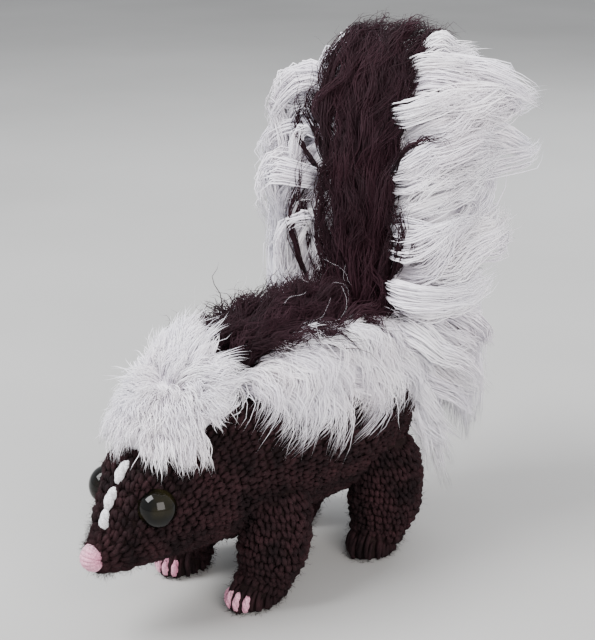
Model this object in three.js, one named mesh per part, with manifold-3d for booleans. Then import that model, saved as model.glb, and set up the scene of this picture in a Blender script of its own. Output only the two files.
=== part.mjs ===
// Crocheted skunk toy with a brushed yarn coat and an upright plume of a tail.
// Millimetres, +Z up. The head looks towards -Y and the toy's left side is +X.
// Every piece is a lofted skin, a dome, a yarn stitch or a coat of locks set on the loft it grows from.

import * as THREE from 'three';
import { ParametricGeometry } from 'three/addons/geometries/ParametricGeometry.js';
import { mergeVertices } from 'three/addons/utils/BufferGeometryUtils.js';
import Module from 'manifold-3d';

const wasm = await Module();
wasm.setup();

// Clearance between pieces that touch, and how much wider the cutter of a lock is on each side
const GAP = 0.3;
const LOCK_GAP = 0.55;

// The body's loft from nose to rump: y, height of its centre, half width, half height
const BODY = [
  [-130, 43, 8, 9],
  [-126, 43.5, 9, 9.4],
  [-117, 46, 13.5, 13.4],
  [-107.5, 51.5, 18.5, 22],
  [-95, 58.5, 23.5, 30],
  [-78, 66, 29.5, 37],
  [-52, 73, 36, 43.5],
  [-20, 77.5, 40, 46.5],
  [15, 79, 41, 46.5],
  [45, 80, 38, 42],
  [64, 80.5, 31, 34],
  [80, 81, 19, 22],
];
const BODY_AROUND = 20;
const BODY_ALONG = 22;
const NOSE_PLANE_Y = -127.5;
const NECK_Y = -72;
const NECK_TILT = 0.3;

// The nose bulb: centre and half sizes
const NOSE_CENTRE = new THREE.Vector3(0, -128.3, 43.6);
const NOSE_HALF = new THREE.Vector3(6.6, 7.2, 6.8);

// Safety eyes: where the head's loft carries them, dome radius and dome height
const EYE_T = 0.33;
const EYE_ANGLE = 28;
const EYE_RADIUS = 9.2;
const EYE_HEIGHT = 8;
const EYE_FORWARD = 0.35;

// Stitched brows above the eyes, fused to the head
const BROW_T = 0.35;
const BROW_ANGLE = 63;
const BROW_SPAN_T = 0.035;
const BROW_SPAN_ANGLE = 17;
const BROW_RISE = 2.4;

// White yarn stitches of the blaze: loft position of the lower and upper end of each
const YARN_RADIUS = 2;
const BLAZE_ANGLE = 84;
const BLAZE = [
  ['blaze_low', 0.14, 0.243],
  ['blaze_mid', 0.25, 0.302],
  ['blaze_top', 0.308, 0.362],
];

// Legs of the left side, top to sole: x, y, z, half width, half length. The right side mirrors them.
const FRONT_LEG = [
  [24, -36, 64, 14, 15],
  [28, -39, 44, 16.5, 18],
  [29.5, -43, 27, 16, 17.5],
  [28.5, -47, 14, 12, 13.5],
  [26.5, -52, 5, 10.2, 14.5],
  [26.5, -53, -5, 9, 13],
];
const HIND_LEG = [
  [25, 40, 66, 14, 17],
  [29, 40, 46, 17.5, 20],
  [30.5, 38, 29, 17.5, 19.5],
  [30, 34, 14, 13, 14.5],
  [29, 30, 5, 10.5, 14],
  [29, 30, -5, 9.3, 13],
];
const LEG_AROUND = 14;
const LEG_ALONG = 9;
const TOES = 4;
const TOE_STEP = 24;
const TOE_TOP_T = 0.765;
const TOE_SOLE_T = 0.87;
const TOE_RADIUS = 1.9;

// The tail's core from its root in the rump to its top: y, z, half width, half depth
const TAIL = [
  [60, 98, 14, 14],
  [60, 125, 17, 16],
  [57, 150, 17, 16],
  [56, 180, 17, 15],
  [59, 210, 15, 14],
  [67, 236, 13, 12],
  [82, 254, 9, 9],
];
// The dark strip takes this angle on each side of the tail's front, and white takes the rest
const TAIL_DARK_HALF = 58;

// Pads that the coats grow from: middle and half span in t, middle and half span in degrees, depth
const CREST_PAD = [0.465, 0.075, 90, 42, 17];
const STRIPE_PAD = [0.7, 0.19, 40, 22, 7];
const BACK_PAD = [0.68, 0.145, 90, 22, 13];

// Crest locks from the crown in rings: turn of the first, count, spread in t and degrees, run in t and
// degrees, heights of root, middle and tip. All of them lean forward by the same t.
const CROWN_T = 0.5;
const CREST_LEAN_T = 0.045;
const CREST_RINGS = [
  { first: 0, count: 10, spreadT: 0.018, spreadAngle: 18, runT: 0.09, runAngle: 44, heights: [2, 12, 4] },
  { first: 20, count: 8, spreadT: 0.012, spreadAngle: 9, runT: 0.07, runAngle: 31, heights: [8, 21, 13] },
  { first: 10, count: 6, spreadT: 0.014, spreadAngle: 3, runT: 0.045, runAngle: 14, heights: [14, 33, 29] },
];
const CREST_LOCK = { width: 17, thick: 5 };

// Stripe tiers on the left flank: degrees at the root, count, first and last t, run down in degrees,
// heights of root, middle and tip
const STRIPE_TIERS = [
  { root: 40, count: 8, first: 0.545, last: 0.91, run: 42, heights: [0, 8, 3] },
  { root: 56, count: 7, first: 0.525, last: 0.91, run: 44, heights: [2, 12, 7] },
  { root: 71, count: 7, first: 0.49, last: 0.9, run: 36, heights: [3, 14, 11] },
];
const STRIPE_LOCK = { width: 18, thick: 4.5 };

// Dark back fur: rows along the back, degrees of each column
const BACK_ROWS = 5;
const BACK_FIRST_T = 0.545;
const BACK_LAST_T = 0.8;
const BACK_COLUMNS = [70, 83, 97, 110];
const BACK_HEIGHTS = [4, 19, 23];
const BACK_LOCK = { width: 15, thick: 5.5 };

// How far the hair's tips stand off the tail's core from root to top: t, dark strip, white plume
const PLUME = [
  [0, 6, 14],
  [0.1, 13, 44],
  [0.25, 17, 66],
  [0.5, 19, 70],
  [0.67, 19, 71],
  [0.83, 20, 73],
  [0.92, 21, 70],
  [1, 16, 26],
];
// Share of that reach at the front of the dark strip and at its edges
const DARK_SHARES = [0.4, 1.05];
// Share of the white reach where the plume meets the dark strip, at its sides and at its back
const PLUME_SHARES = [0.74, 0.78, 0.75];
// The part of the reach that the plume's core takes
const CORE_SHARE = 0.4;

// Dark locks up the tail's front: roots' t and degrees, run in t. Past the tail's end they curl back.
const DARK_LOCKS = [
  [0.12, 62, 0.36], [0.14, 90, 0.4], [0.13, 118, 0.36],
  [0.3, 44, 0.34], [0.32, 76, 0.4], [0.31, 104, 0.38], [0.3, 136, 0.34],
  [0.5, 46, 0.34], [0.52, 78, 0.36], [0.51, 104, 0.36], [0.5, 134, 0.34],
  [0.7, 52, 0.4], [0.72, 82, 0.42], [0.7, 112, 0.38],
];
const DARK_CURL = new THREE.Vector3(0, 150, -30);
const DARK_LOCK = { width: 17, thick: 6 };

// White locks of the left half: rows of roots up the tail and degrees of each column
const WHITE_ROWS = 6;
const WHITE_COLUMNS = [24, -2, -28, -54, -79];
const WHITE_LOCK = { width: 28, thick: 6 };
// Lift of the tips and share of the reach, each in the lowest and in the highest row, and how far the
// front locks sweep back in degrees. The left side is combed back and the right side droops.
const WHITE_COMBING = {
  left: { lifts: [8, 18], shares: [1, 1], sweep: 42 },
  right: { lifts: [-18, -40], shares: [0.66, 1.08], sweep: 2 },
};

// White locks that hang behind the rump on the left: root x, y, z and tip x, y, z
const HANGING_LOCKS = [
  [8, 80, 124, 8, 108, 40],
  [15, 78, 122, 24, 106, 36],
  [21, 72, 118, 37, 95, 48],
  [9, 82, 112, 15, 117, 62],
  [18, 78, 112, 30, 111, 72],
];
const HANGING_LOCK = { width: 25, thick: 10 };

const SIDE = new THREE.Vector3(1, 0, 0);
const UP = new THREE.Vector3(0, 0, 1);
const RADIANS = Math.PI / 180;

// About how much of t and how many degrees one millimetre is on the body's skin
const T_PER_MM = 1 / 180;
const DEGREES_PER_MM = 2.4;

// Seeded random numbers in 0..1, one stream for each coat
function seeded(seed) {
  let state = seed;
  return () => {
    state = (state + 0x6d2b79f5) | 0;
    let mixed = Math.imul(state ^ (state >>> 15), 1 | state);
    mixed = (mixed + Math.imul(mixed ^ (mixed >>> 7), 61 | mixed)) ^ mixed;
    return ((mixed ^ (mixed >>> 14)) >>> 0) / 4294967296;
  };
}

// A closed geometry as a solid, with shared corners merged and empty triangles left out
function solidOf(geometry) {
  geometry.deleteAttribute('normal');
  geometry.deleteAttribute('uv');
  const merged = mergeVertices(geometry, 1e-4);
  const index = merged.index.array;
  const kept = [];
  for (let i = 0; i < index.length; i += 3) {
    const [a, b, c] = [index[i], index[i + 1], index[i + 2]];
    if (a !== b && b !== c && c !== a) {
      kept.push(a, b, c);
    }
  }
  const corners = merged.attributes.position;
  if (signedVolume(corners, kept) < 0) {
    kept.reverse();
  }
  const mesh = new wasm.Mesh({
    numProp: 3,
    vertProperties: new Float32Array(corners.array),
    triVerts: new Uint32Array(kept),
  });
  return new wasm.Manifold(mesh);
}

// Six times the volume inside a triangle list, negative when its faces point in
function signedVolume(corners, triangles) {
  const [a, b, c] = [new THREE.Vector3(), new THREE.Vector3(), new THREE.Vector3()];
  let volume = 0;
  for (let i = 0; i < triangles.length; i += 3) {
    a.fromBufferAttribute(corners, triangles[i]);
    b.fromBufferAttribute(corners, triangles[i + 1]);
    c.fromBufferAttribute(corners, triangles[i + 2]);
    volume += a.dot(b.cross(c));
  }
  return volume;
}

// A closed skin: point(v, turn) for v from pole to pole and turn from 0 to a full turn
function skin(point, around, along) {
  const place = (u, v, target) => target.copy(point(v, (u % 1) * 2 * Math.PI));
  return solidOf(new ParametricGeometry(place, around, along));
}

function joined(solids) {
  return solids.reduce((whole, solid) => whole.add(solid));
}

// The largest closed surface of a solid
function largest(solid) {
  const pieces = solid.decompose();
  return pieces.reduce((best, piece) => (piece.volume() > best.volume() ? piece : best));
}

function box(width, depth, height) {
  return new THREE.BoxGeometry(width, depth, height);
}

const ROOM = 600;
const belowFloor = solidOf(box(ROOM, ROOM, ROOM).translate(0, 0, -ROOM / 2));

// A loft through stations [x, y, z, half size along X, half size across], with round ends
class Loft {
  constructor(stations, roundness) {
    this.path = new THREE.CatmullRomCurve3(stations.map(([x, y, z]) => new THREE.Vector3(x, y, z)));
    this.size = new THREE.CatmullRomCurve3(stations.map(([, , , a, b]) => new THREE.Vector3(a, b, 0)));
    this.roundness = roundness;
  }

  // Surface point at t from end to end and angle in degrees from +X, moved out along the section
  point(t, angle, out = 0) {
    const centre = this.path.getPoint(t);
    const along = this.path.getTangent(t);
    const across = SIDE.clone().cross(along).normalize();
    const size = this.size.getPoint(t);
    const ends = Math.abs(2 * t - 1) ** this.roundness;
    const round = Math.sqrt(Math.max(0, 1 - ends));
    const turn = angle * RADIANS;
    const grow = out * round;
    centre.addScaledVector(SIDE, (size.x * round + grow) * Math.cos(turn));
    centre.addScaledVector(across, (size.y * round + grow) * Math.sin(turn));
    return centre.addScaledVector(along, out * ends * Math.sign(2 * t - 1));
  }

  normal(t, angle) {
    const step = 1e-3;
    const alongStep = this.point(t + step, angle).sub(this.point(t - step, angle));
    const aroundStep = this.point(t, angle + 1).sub(this.point(t, angle - 1));
    const normal = aroundStep.cross(alongStep).normalize();
    const outward = this.point(t, angle).sub(this.path.getPoint(t));
    return normal.dot(outward) < 0 ? normal.negate() : normal;
  }

  solid(around, along, out = 0) {
    return skin((v, turn) => this.point(v, turn / RADIANS, out), around, along);
  }
}

// A pad on a loft: middle and half span in t and in degrees, as deep as depth at its middle
function pad(loft, [t, spanT, angle, spanAngle, depth], grow = 0, square = 0.75, around = 16, along = 8) {
  const soften = (value) => Math.sign(value) * Math.abs(value) ** square;
  const place = (v, turn) => {
    const ring = Math.sin(v * Math.PI);
    const rise = Math.cos(v * Math.PI);
    const a = soften(ring * Math.cos(turn));
    const b = soften(ring * Math.sin(turn));
    const out = rise > 0 ? rise * depth + grow : rise * 3;
    const placeT = t + a * (spanT + grow * T_PER_MM);
    return loft.point(placeT, angle + b * (spanAngle + grow * DEGREES_PER_MM), out);
  };
  return skin(place, around, along);
}

// A yarn stitch on a loft between two places, round and tapered at both ends
function stitch(loft, t0, angle0, t1, angle1, radius, bury) {
  const place = (v, turn) => {
    const t = t0 + (t1 - t0) * v;
    const angle = angle0 + (angle1 - angle0) * v;
    const swell = Math.sin(Math.PI * v) ** 0.45;
    const normal = loft.normal(t, angle);
    const ahead = loft.point(t + (t1 - t0) * 0.05, angle + (angle1 - angle0) * 0.05);
    const tangent = ahead.sub(loft.point(t, angle)).normalize();
    const across = tangent.cross(normal).normalize();
    const centre = loft.point(t, angle).addScaledVector(normal, radius * swell - bury);
    centre.addScaledVector(across, Math.cos(turn) * radius * swell);
    return centre.addScaledVector(normal, Math.sin(turn) * radius * swell);
  };
  return skin(place, 5, 4);
}

// A lock: a flat, tapered, closed tube along a curve, as wide as form.width along side
function lock(curve, side, form, grow = 0, along = 5) {
  const tangent = new THREE.Vector3();
  const place = (v, turn) => {
    const centre = curve.getPoint(v);
    curve.getTangent(v, tangent);
    if (v === 0 || v === 1) {
      return centre.addScaledVector(tangent, (2 * v - 1) * grow * 2);
    }
    const across = side.clone().addScaledVector(tangent, -side.dot(tangent)).normalize();
    const normal = across.clone().cross(tangent);
    const taper = Math.sin(Math.PI * v ** 0.48) ** 0.85;
    const corner = turn + Math.PI / 2;
    centre.addScaledVector(across, Math.cos(corner) * (form.width * taper * 0.58 + grow * 2));
    return centre.addScaledVector(normal, Math.sin(corner) * (form.thick * taper * 0.67 + grow * 2));
  };
  return skin(place, 3, along);
}

// A lock that lies on a loft: from the height of its root to its middle and its tip, run on by dt and dAngle
function lyingLock(loft, t, angle, dt, dAngle, [root, middle, tip], form, grow) {
  const heights = [root, root + (middle - root) * 0.7, middle, (middle + tip) / 2, tip];
  const points = heights.map((out, i) => {
    const s = i / (heights.length - 1);
    return loft.point(t + dt * s, angle + dAngle * s, out);
  });
  const run = points[points.length - 1].clone().sub(points[0]);
  return lock(new THREE.CatmullRomCurve3(points), run.cross(loft.normal(t, angle)), form, grow);
}

const mirrored = (stations) => stations.map(([x, ...rest]) => [-x, ...rest]);

// Lofts of the flesh
const body = new Loft(BODY.map(([y, z, a, b]) => [0, y, z, a, b]), 9);
const tail = new Loft(TAIL.map(([y, z, a, b]) => [0, y, z, a, b]), 10);
const legLofts = {
  leg_front_left: new Loft(FRONT_LEG, 12),
  leg_front_right: new Loft(mirrored(FRONT_LEG), 12),
  leg_hind_left: new Loft(HIND_LEG, 12),
  leg_hind_right: new Loft(mirrored(HIND_LEG), 12),
};

const bodySolid = body.solid(BODY_AROUND, BODY_ALONG);
const bodyCutter = body.solid(BODY_AROUND, BODY_ALONG, GAP);

// The half room in front of a plane across the body at y, tilted back at the top
function inFrontOf(y, z, tilt) {
  const half = box(ROOM, ROOM, ROOM).translate(0, -ROOM / 2, 0);
  return solidOf(half.rotateX(tilt).translate(0, y, z));
}

const solids = {};
const cutters = {};

// The pair of brows
function brows(grow) {
  return joined([BROW_ANGLE, 180 - BROW_ANGLE].map((angle) =>
    pad(body, [BROW_T, BROW_SPAN_T, angle, BROW_SPAN_ANGLE, BROW_RISE], grow, 1, 7, 4)));
}

// The head ends at the nose plane and at the neck
function makeHeadAndTorso() {
  const neckZ = 70;
  const front = inFrontOf(NECK_Y - GAP / 2, neckZ, NECK_TILT);
  const back = inFrontOf(NECK_Y + GAP / 2, neckZ, NECK_TILT);
  const tipRoom = inFrontOf(NOSE_PLANE_Y, NOSE_CENTRE.z, 0);
  solids.head = bodySolid.add(brows(0)).intersect(front).subtract(tipRoom);
  cutters.head = bodyCutter.add(brows(GAP * 1.5));
  solids.torso = bodySolid.subtract(back);
}

function makeNose() {
  const bulb = new THREE.SphereGeometry(1, 14, 10).scale(NOSE_HALF.x, NOSE_HALF.y, NOSE_HALF.z);
  const room = inFrontOf(NOSE_PLANE_Y - GAP, NOSE_CENTRE.z, 0);
  solids.nose = solidOf(bulb.translate(NOSE_CENTRE.x, NOSE_CENTRE.y, NOSE_CENTRE.z)).intersect(room);
}

// A dome on the head, its axis turned a little forward from the skin's normal
function eyeDome(angle, grow) {
  const axis = body.normal(EYE_T, angle);
  axis.y -= EYE_FORWARD;
  axis.normalize();
  const turn = new THREE.Quaternion().setFromUnitVectors(UP, axis);
  const seat = body.point(EYE_T, angle);
  const dome = new THREE.SphereGeometry(1, 12, 8);
  dome.scale(EYE_RADIUS + grow, EYE_RADIUS + grow, EYE_HEIGHT + grow);
  return solidOf(dome.applyQuaternion(turn).translate(seat.x, seat.y, seat.z));
}

function makeEyes() {
  const sides = { eye_left: EYE_ANGLE, eye_right: 180 - EYE_ANGLE };
  for (const [name, angle] of Object.entries(sides)) {
    solids[name] = eyeDome(angle, 0).subtract(cutters.head);
    cutters[name] = eyeDome(angle, GAP * 1.5);
  }
}

function makeBlaze() {
  for (const [name, low, top] of BLAZE) {
    const yarn = stitch(body, low, BLAZE_ANGLE, top, BLAZE_ANGLE, YARN_RADIUS, 0.8);
    solids[name] = yarn.subtract(cutters.head);
    cutters[name] = stitch(body, low - 0.004, BLAZE_ANGLE, top + 0.004, BLAZE_ANGLE, YARN_RADIUS + 0.4, 0.8);
  }
}

// Legs stop at the body and at the floor, and the front feet carry their pink stitches
function makeLegs() {
  for (const [name, loft] of Object.entries(legLofts)) {
    solids[name] = loft.solid(LEG_AROUND, LEG_ALONG).subtract(bodyCutter).subtract(belowFloor);
    const legCutter = loft.solid(LEG_AROUND, LEG_ALONG, GAP);
    cutters[name] = legCutter;
    if (!name.includes('front')) {
      continue;
    }
    for (let i = 0; i < TOES; i += 1) {
      const angle = -90 + (i - (TOES - 1) / 2) * TOE_STEP;
      const yarn = stitch(loft, TOE_TOP_T, angle, TOE_SOLE_T, angle, TOE_RADIUS, 0.6);
      solids[`${name.replace('leg', 'toe')}_${i + 1}`] = yarn.subtract(legCutter).subtract(belowFloor);
    }
  }
}

// A coat node: its pads and locks joined, cut clear of what it lies on, with a cutter for later coats
function addCoat(name, build, neighbours) {
  const clear = neighbours.map((other) => cutters[other]);
  solids[name] = [bodyCutter, ...clear].reduce((left, cutter) => left.subtract(cutter), joined(build(0)));
  cutters[name] = joined([...build(LOCK_GAP), solids[name]]);
}

const LEFT = 'left';
const RIGHT = 'right';
const onSide = (side, angle) => (side === LEFT ? angle : 180 - angle);

// A lock that lies on the body's loft
function bodyLock(t, angle, dt, dAngle, heights, scale, form, grow) {
  const [root, middle, tip] = heights.map((height) => height * scale);
  return lyingLock(body, t, angle, dt, dAngle, [root, middle, tip], form, grow);
}

// The crest falls from the crown to the forehead, the cheeks and the shoulders
function crestParts(grow) {
  const random = seeded(11);
  const parts = [pad(body, CREST_PAD, grow, 0.75, 12, 6)];
  for (const ring of CREST_RINGS) {
    for (let i = 0; i < ring.count; i += 1) {
      const turn = (ring.first + ((i + 0.3 * (random() - 0.5)) * 360) / ring.count) * RADIANS;
      const length = 0.85 + 0.3 * random();
      const t = CROWN_T + Math.cos(turn) * ring.spreadT;
      const angle = 90 + Math.sin(turn) * ring.spreadAngle;
      const dt = Math.cos(turn) * ring.runT * length - CREST_LEAN_T;
      const dAngle = Math.sin(turn) * ring.runAngle * length;
      const scale = 0.9 + 0.2 * random();
      parts.push(bodyLock(t, angle, dt, dAngle, ring.heights, scale, CREST_LOCK, grow));
    }
  }
  return parts;
}

// A flank stripe: tiers of locks that lie down and back to pointed tips
function stripeParts(side, seed, grow) {
  const random = seeded(seed);
  const [t, spanT, angle, spanAngle, depth] = STRIPE_PAD;
  const parts = [pad(body, [t, spanT, onSide(side, angle), spanAngle, depth], grow, 0.75, 12, 6)];
  const down = side === LEFT ? -1 : 1;
  for (const { root, count, first, last, run, heights } of STRIPE_TIERS) {
    for (let i = 0; i < count; i += 1) {
      const along = first + ((last - first) * (i + 0.4 * (random() - 0.5))) / (count - 1);
      const dAngle = down * run * (0.8 + 0.4 * random());
      const dt = 0.02 + 0.045 * random();
      const scale = 0.85 + 0.3 * random();
      parts.push(bodyLock(along, onSide(side, root), dt, dAngle, heights, scale, STRIPE_LOCK, grow));
    }
  }
  return parts;
}

// The dark fur on the back: tousled locks that lean back with their points up
function backParts(grow) {
  const random = seeded(31);
  const parts = [pad(body, BACK_PAD, grow, 0.75, 12, 6)];
  for (let row = 0; row < BACK_ROWS; row += 1) {
    for (const column of BACK_COLUMNS) {
      const t = BACK_FIRST_T + ((BACK_LAST_T - BACK_FIRST_T) * (row + 0.5 * random())) / BACK_ROWS;
      const dt = 0.045 + 0.03 * random();
      const dAngle = (column - 90) * 0.3 + 14 * (random() - 0.5);
      const scale = 0.9 + 0.2 * random();
      parts.push(bodyLock(t, column + 4 * random(), dt, dAngle, BACK_HEIGHTS, scale, BACK_LOCK, grow));
    }
  }
  return parts;
}

// A sector of the tail between two angles as far out as reach(v, angle), moved along its middle by shift
function tailSector(from, to, reach, shift, grow) {
  const around = 8;
  const bisector = ((from + to) / 2) * RADIANS;
  const offset = new THREE.Vector3(Math.cos(bisector), -Math.sin(bisector), 0).multiplyScalar(shift);
  const place = (v, turn) => {
    const corner = Math.round((turn / (2 * Math.PI)) * around);
    const arc = around - 2;
    const isEnd = v === 0 || v === 1;
    const edge = isEnd ? from : from + ((to - from) * Math.min(corner, arc)) / arc;
    const spot = corner > arc ? tail.path.getPoint(v) : tail.point(v, edge, reach(v, edge) + grow);
    return spot.add(offset);
  };
  return skin(place, around, 10);
}

// The reach of column 1 or 2 of the table at v
function reachAt(column, v) {
  const next = Math.max(1, PLUME.findIndex(([t]) => t >= v));
  const [low, high] = [PLUME[next - 1], PLUME[next]];
  return THREE.MathUtils.mapLinear(v, low[0], high[0], low[column], high[column]);
}

// How far white tips stand off the tail's core at t and angle
function plumeReach(t, angle) {
  const [front, beside, behind] = PLUME_SHARES;
  const rise = Math.sin(angle * RADIANS);
  const diagonal = Math.abs(Math.sin(2 * angle * RADIANS)) * 0.23;
  const back = beside + (behind - beside) * -rise + diagonal;
  const ahead = beside + (front - beside) * rise * 1.8;
  return reachAt(2, t) * (rise < 0 ? back : ahead);
}

// How far dark tips stand off the tail's core, least in front
function darkReach(t, angle) {
  const [front, edge] = DARK_SHARES;
  return reachAt(1, t) * THREE.MathUtils.lerp(front, edge, Math.abs(Math.sin(2 * angle * RADIANS)));
}

// Dark locks that run up the tail's front in waves and curl back over its top
function darkTailParts(grow) {
  const random = seeded(41);
  const core = (v, angle) => darkReach(v, angle) * CORE_SHARE;
  const parts = [tailSector(90 - TAIL_DARK_HALF, 90 + TAIL_DARK_HALF, core, grow ? 0 : GAP, grow)];
  for (const [t, root, run] of DARK_LOCKS) {
    const sway = 9 * (random() - 0.5);
    const spread = (root - 90) * 0.12;
    const points = [0, 0.3, 0.6, 0.85, 1].map((s, i) => {
      const at = Math.min(t + run * s, 1);
      const toward = root + spread * s + sway * Math.sin(s * 5);
      const out = [-6, 0.9, 0.75, 1, 0.85][i] * (i ? darkReach(at, toward) * (0.9 + 0.3 * random()) : 1);
      return tail.point(at, toward, out).addScaledVector(DARK_CURL, Math.max(t + run * s - 1, 0));
    });
    const run3d = points[4].clone().sub(points[0]);
    const side = run3d.cross(tail.normal(t, root));
    parts.push(lock(new THREE.CatmullRomCurve3(points), side, DARK_LOCK, grow));
  }
  return parts;
}

// A white lock from the tail's core out to the plume's edge, lifted and turned sideways on its way
function plumeLock(t, angle, lift, swirl, scale, tilt, grow) {
  const stages = [[-8, 0, 0], [0.5, 0.2, 0.2], [0.82, 0.55, 0.55], [1, 1, 1]];
  const points = stages.map(([out, rise, turn], i) => {
    const toward = angle + swirl * turn;
    const reach = i ? plumeReach(t, toward) * out * scale : out;
    const spot = tail.point(t, toward).addScaledVector(tail.normal(t, toward), reach);
    return spot.addScaledVector(UP, lift * rise);
  });
  const heading = tail.normal(t, angle);
  const wide = new THREE.Vector3(-heading.y * tilt, heading.x * tilt, 1);
  return lock(new THREE.CatmullRomCurve3(points), wide, WHITE_LOCK, grow);
}

// White locks that fan out from one half of the tail, and hang behind the rump at its root
function whiteTailParts(side, seed, grow) {
  const random = seeded(seed);
  const { lifts, shares, sweep } = WHITE_COMBING[side];
  const flip = side === LEFT ? 1 : -1;
  const edges = [-90, 90 - TAIL_DARK_HALF].map((angle) => onSide(side, angle));
  const core = (v, angle) => plumeReach(v, angle) * CORE_SHARE;
  const parts = [tailSector(edges[0], edges[1], core, grow ? 0 : GAP, grow)];
  for (let row = 0; row < WHITE_ROWS; row += 1) {
    for (const [i, column] of WHITE_COLUMNS.entries()) {
      const s = (row + 0.5 * (i % 2) + 0.25 + 0.4 * (random() - 0.5)) / WHITE_ROWS;
      const angle = onSide(side, column + 8 * (random() - 0.5));
      const lift = THREE.MathUtils.lerp(...lifts, s) + 12 * (random() - 0.5);
      const front = (column + 90) / 120;
      const swirl = 18 * (random() - 0.5) - flip * sweep * front;
      const scale = (0.86 + 0.2 * random()) * THREE.MathUtils.lerp(...shares, s);
      parts.push(plumeLock(0.16 + 0.77 * s, angle, lift, swirl, scale, 1.4 * (random() - 0.5), grow));
    }
  }
  for (const [x, y, z, tipX, tipY, tipZ] of HANGING_LOCKS) {
    const root = new THREE.Vector3(x * flip, y, z);
    const tip = new THREE.Vector3(tipX * flip, tipY, tipZ);
    const bend = root.clone().lerp(tip, 0.35);
    bend.y += 13;
    const fall = root.clone().lerp(tip, 0.72);
    fall.y += 7;
    const curve = new THREE.CatmullRomCurve3([root, bend, fall, tip]);
    parts.push(lock(curve, new THREE.Vector3(1, -0.5 * flip, 0), HANGING_LOCK, grow));
  }
  return parts;
}

makeHeadAndTorso();
makeNose();
makeEyes();
makeBlaze();
makeLegs();
addCoat('crest', crestParts, ['head', 'eye_left', 'eye_right', 'blaze_top', 'blaze_mid']);
addCoat('stripe_left', (grow) => stripeParts(LEFT, 21, grow), ['crest']);
addCoat('stripe_right', (grow) => stripeParts(RIGHT, 22, grow), ['crest']);
const flanks = ['crest', 'stripe_left', 'stripe_right'];
addCoat('back_fur', backParts, flanks);
addCoat('tail_dark', darkTailParts, [...flanks, 'back_fur']);
const besideTail = ['stripe_left', 'stripe_right', 'back_fur', 'tail_dark'];
addCoat('tail_white_left', (grow) => whiteTailParts(LEFT, 51, grow), besideTail);
addCoat('tail_white_right', (grow) => whiteTailParts(RIGHT, 52, grow), [...besideTail, 'tail_white_left']);

const COLOURS = {
  dark: { color: 0x2a1a1d, roughness: 0.95, metalness: 0 },
  white: { color: 0xe9e4e2, roughness: 0.9, metalness: 0 },
  pink: { color: 0xe3a2b4, roughness: 0.85, metalness: 0 },
  eye: { color: 0x15120f, roughness: 0.12, metalness: 0 },
};

function finishOf(name) {
  if (name.startsWith('eye')) {
    return COLOURS.eye;
  }
  if (name === 'nose' || name.startsWith('toe')) {
    return COLOURS.pink;
  }
  const whites = ['blaze', 'crest', 'stripe', 'tail_white'];
  return whites.some((word) => name.startsWith(word)) ? COLOURS.white : COLOURS.dark;
}

function meshOf(name, solid) {
  const shape = largest(solid).getMesh();
  const geometry = new THREE.BufferGeometry();
  geometry.setAttribute('position', new THREE.BufferAttribute(shape.vertProperties, 3));
  geometry.setIndex(new THREE.BufferAttribute(shape.triVerts, 1));
  const mesh = new THREE.Mesh(geometry, new THREE.MeshStandardMaterial(finishOf(name)));
  mesh.name = name;
  return mesh;
}

const group = new THREE.Group();
for (const [name, solid] of Object.entries(solids)) {
  group.add(meshOf(name, solid));
}

// The origin is under the middle of the toy's box, on the floor
const bounds = new THREE.Box3().setFromObject(group);
const middle = bounds.getCenter(new THREE.Vector3());
group.position.set(-middle.x, -middle.y, -bounds.min.z);

export default group;
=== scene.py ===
"""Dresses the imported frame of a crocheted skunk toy: stitched body, brushed yarn coat, eyes and yarn trim."""

import logging
import math
from dataclasses import dataclass, field
from enum import Enum
from typing import Callable, Iterator

import bpy
import numpy as np
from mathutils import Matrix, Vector
from mathutils.bvhtree import BVHTree


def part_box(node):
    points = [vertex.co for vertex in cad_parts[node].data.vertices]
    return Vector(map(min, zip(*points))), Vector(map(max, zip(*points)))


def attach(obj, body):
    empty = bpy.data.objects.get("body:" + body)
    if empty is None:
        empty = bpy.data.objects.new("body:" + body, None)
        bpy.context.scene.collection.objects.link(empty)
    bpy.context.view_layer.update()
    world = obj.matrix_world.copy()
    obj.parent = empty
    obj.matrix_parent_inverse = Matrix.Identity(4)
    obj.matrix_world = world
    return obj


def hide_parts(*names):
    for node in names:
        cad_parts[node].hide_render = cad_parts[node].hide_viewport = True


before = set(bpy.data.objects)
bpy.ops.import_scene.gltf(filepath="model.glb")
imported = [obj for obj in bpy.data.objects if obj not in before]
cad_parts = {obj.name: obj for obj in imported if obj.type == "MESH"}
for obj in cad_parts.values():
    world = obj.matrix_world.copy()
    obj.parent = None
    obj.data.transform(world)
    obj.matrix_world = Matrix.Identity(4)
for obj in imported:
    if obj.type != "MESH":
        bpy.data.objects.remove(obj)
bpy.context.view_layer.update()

Random = np.random.Generator
Socket = bpy.types.NodeSocket
Colour = tuple[float, float, float]
Point = tuple[float, float, float]
Row = tuple[float, ...]
Span = tuple[float, float]
Spot = tuple[float, float]
Grid = tuple[int, int]
Skin = tuple[np.ndarray, np.ndarray]
Guide = tuple[np.ndarray, np.ndarray, Spot, float]
Edge = Callable[[np.ndarray], np.ndarray]
Reach = Callable[[np.ndarray, np.ndarray], np.ndarray]
Hides = Callable[[float, np.ndarray], np.ndarray]

LOG = logging.getLogger("skunk_toy")
BODY_NAME = "root"

# Sizes below are millimetres in the toy's own frame, with the floor at 0, and MM turns them into metres
MM = 0.001
SIDE = np.array([1.0, 0.0, 0.0])
UP = np.array([0.0, 0.0, 1.0])
NOSE_FRONT_Y = -135.5

# Least length that a vector is divided by, least gap between a path's knots, and the step for its slope
TINY = 1e-9
KNOT_GAP = 1e-3
SLOPE_STEP = 1e-3

# Size of a strand's patch on the coat's own unwrap, and the rim that stays clear round the unwrap
UV_PATCH = 0.003
UV_RIM = 0.001

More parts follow.
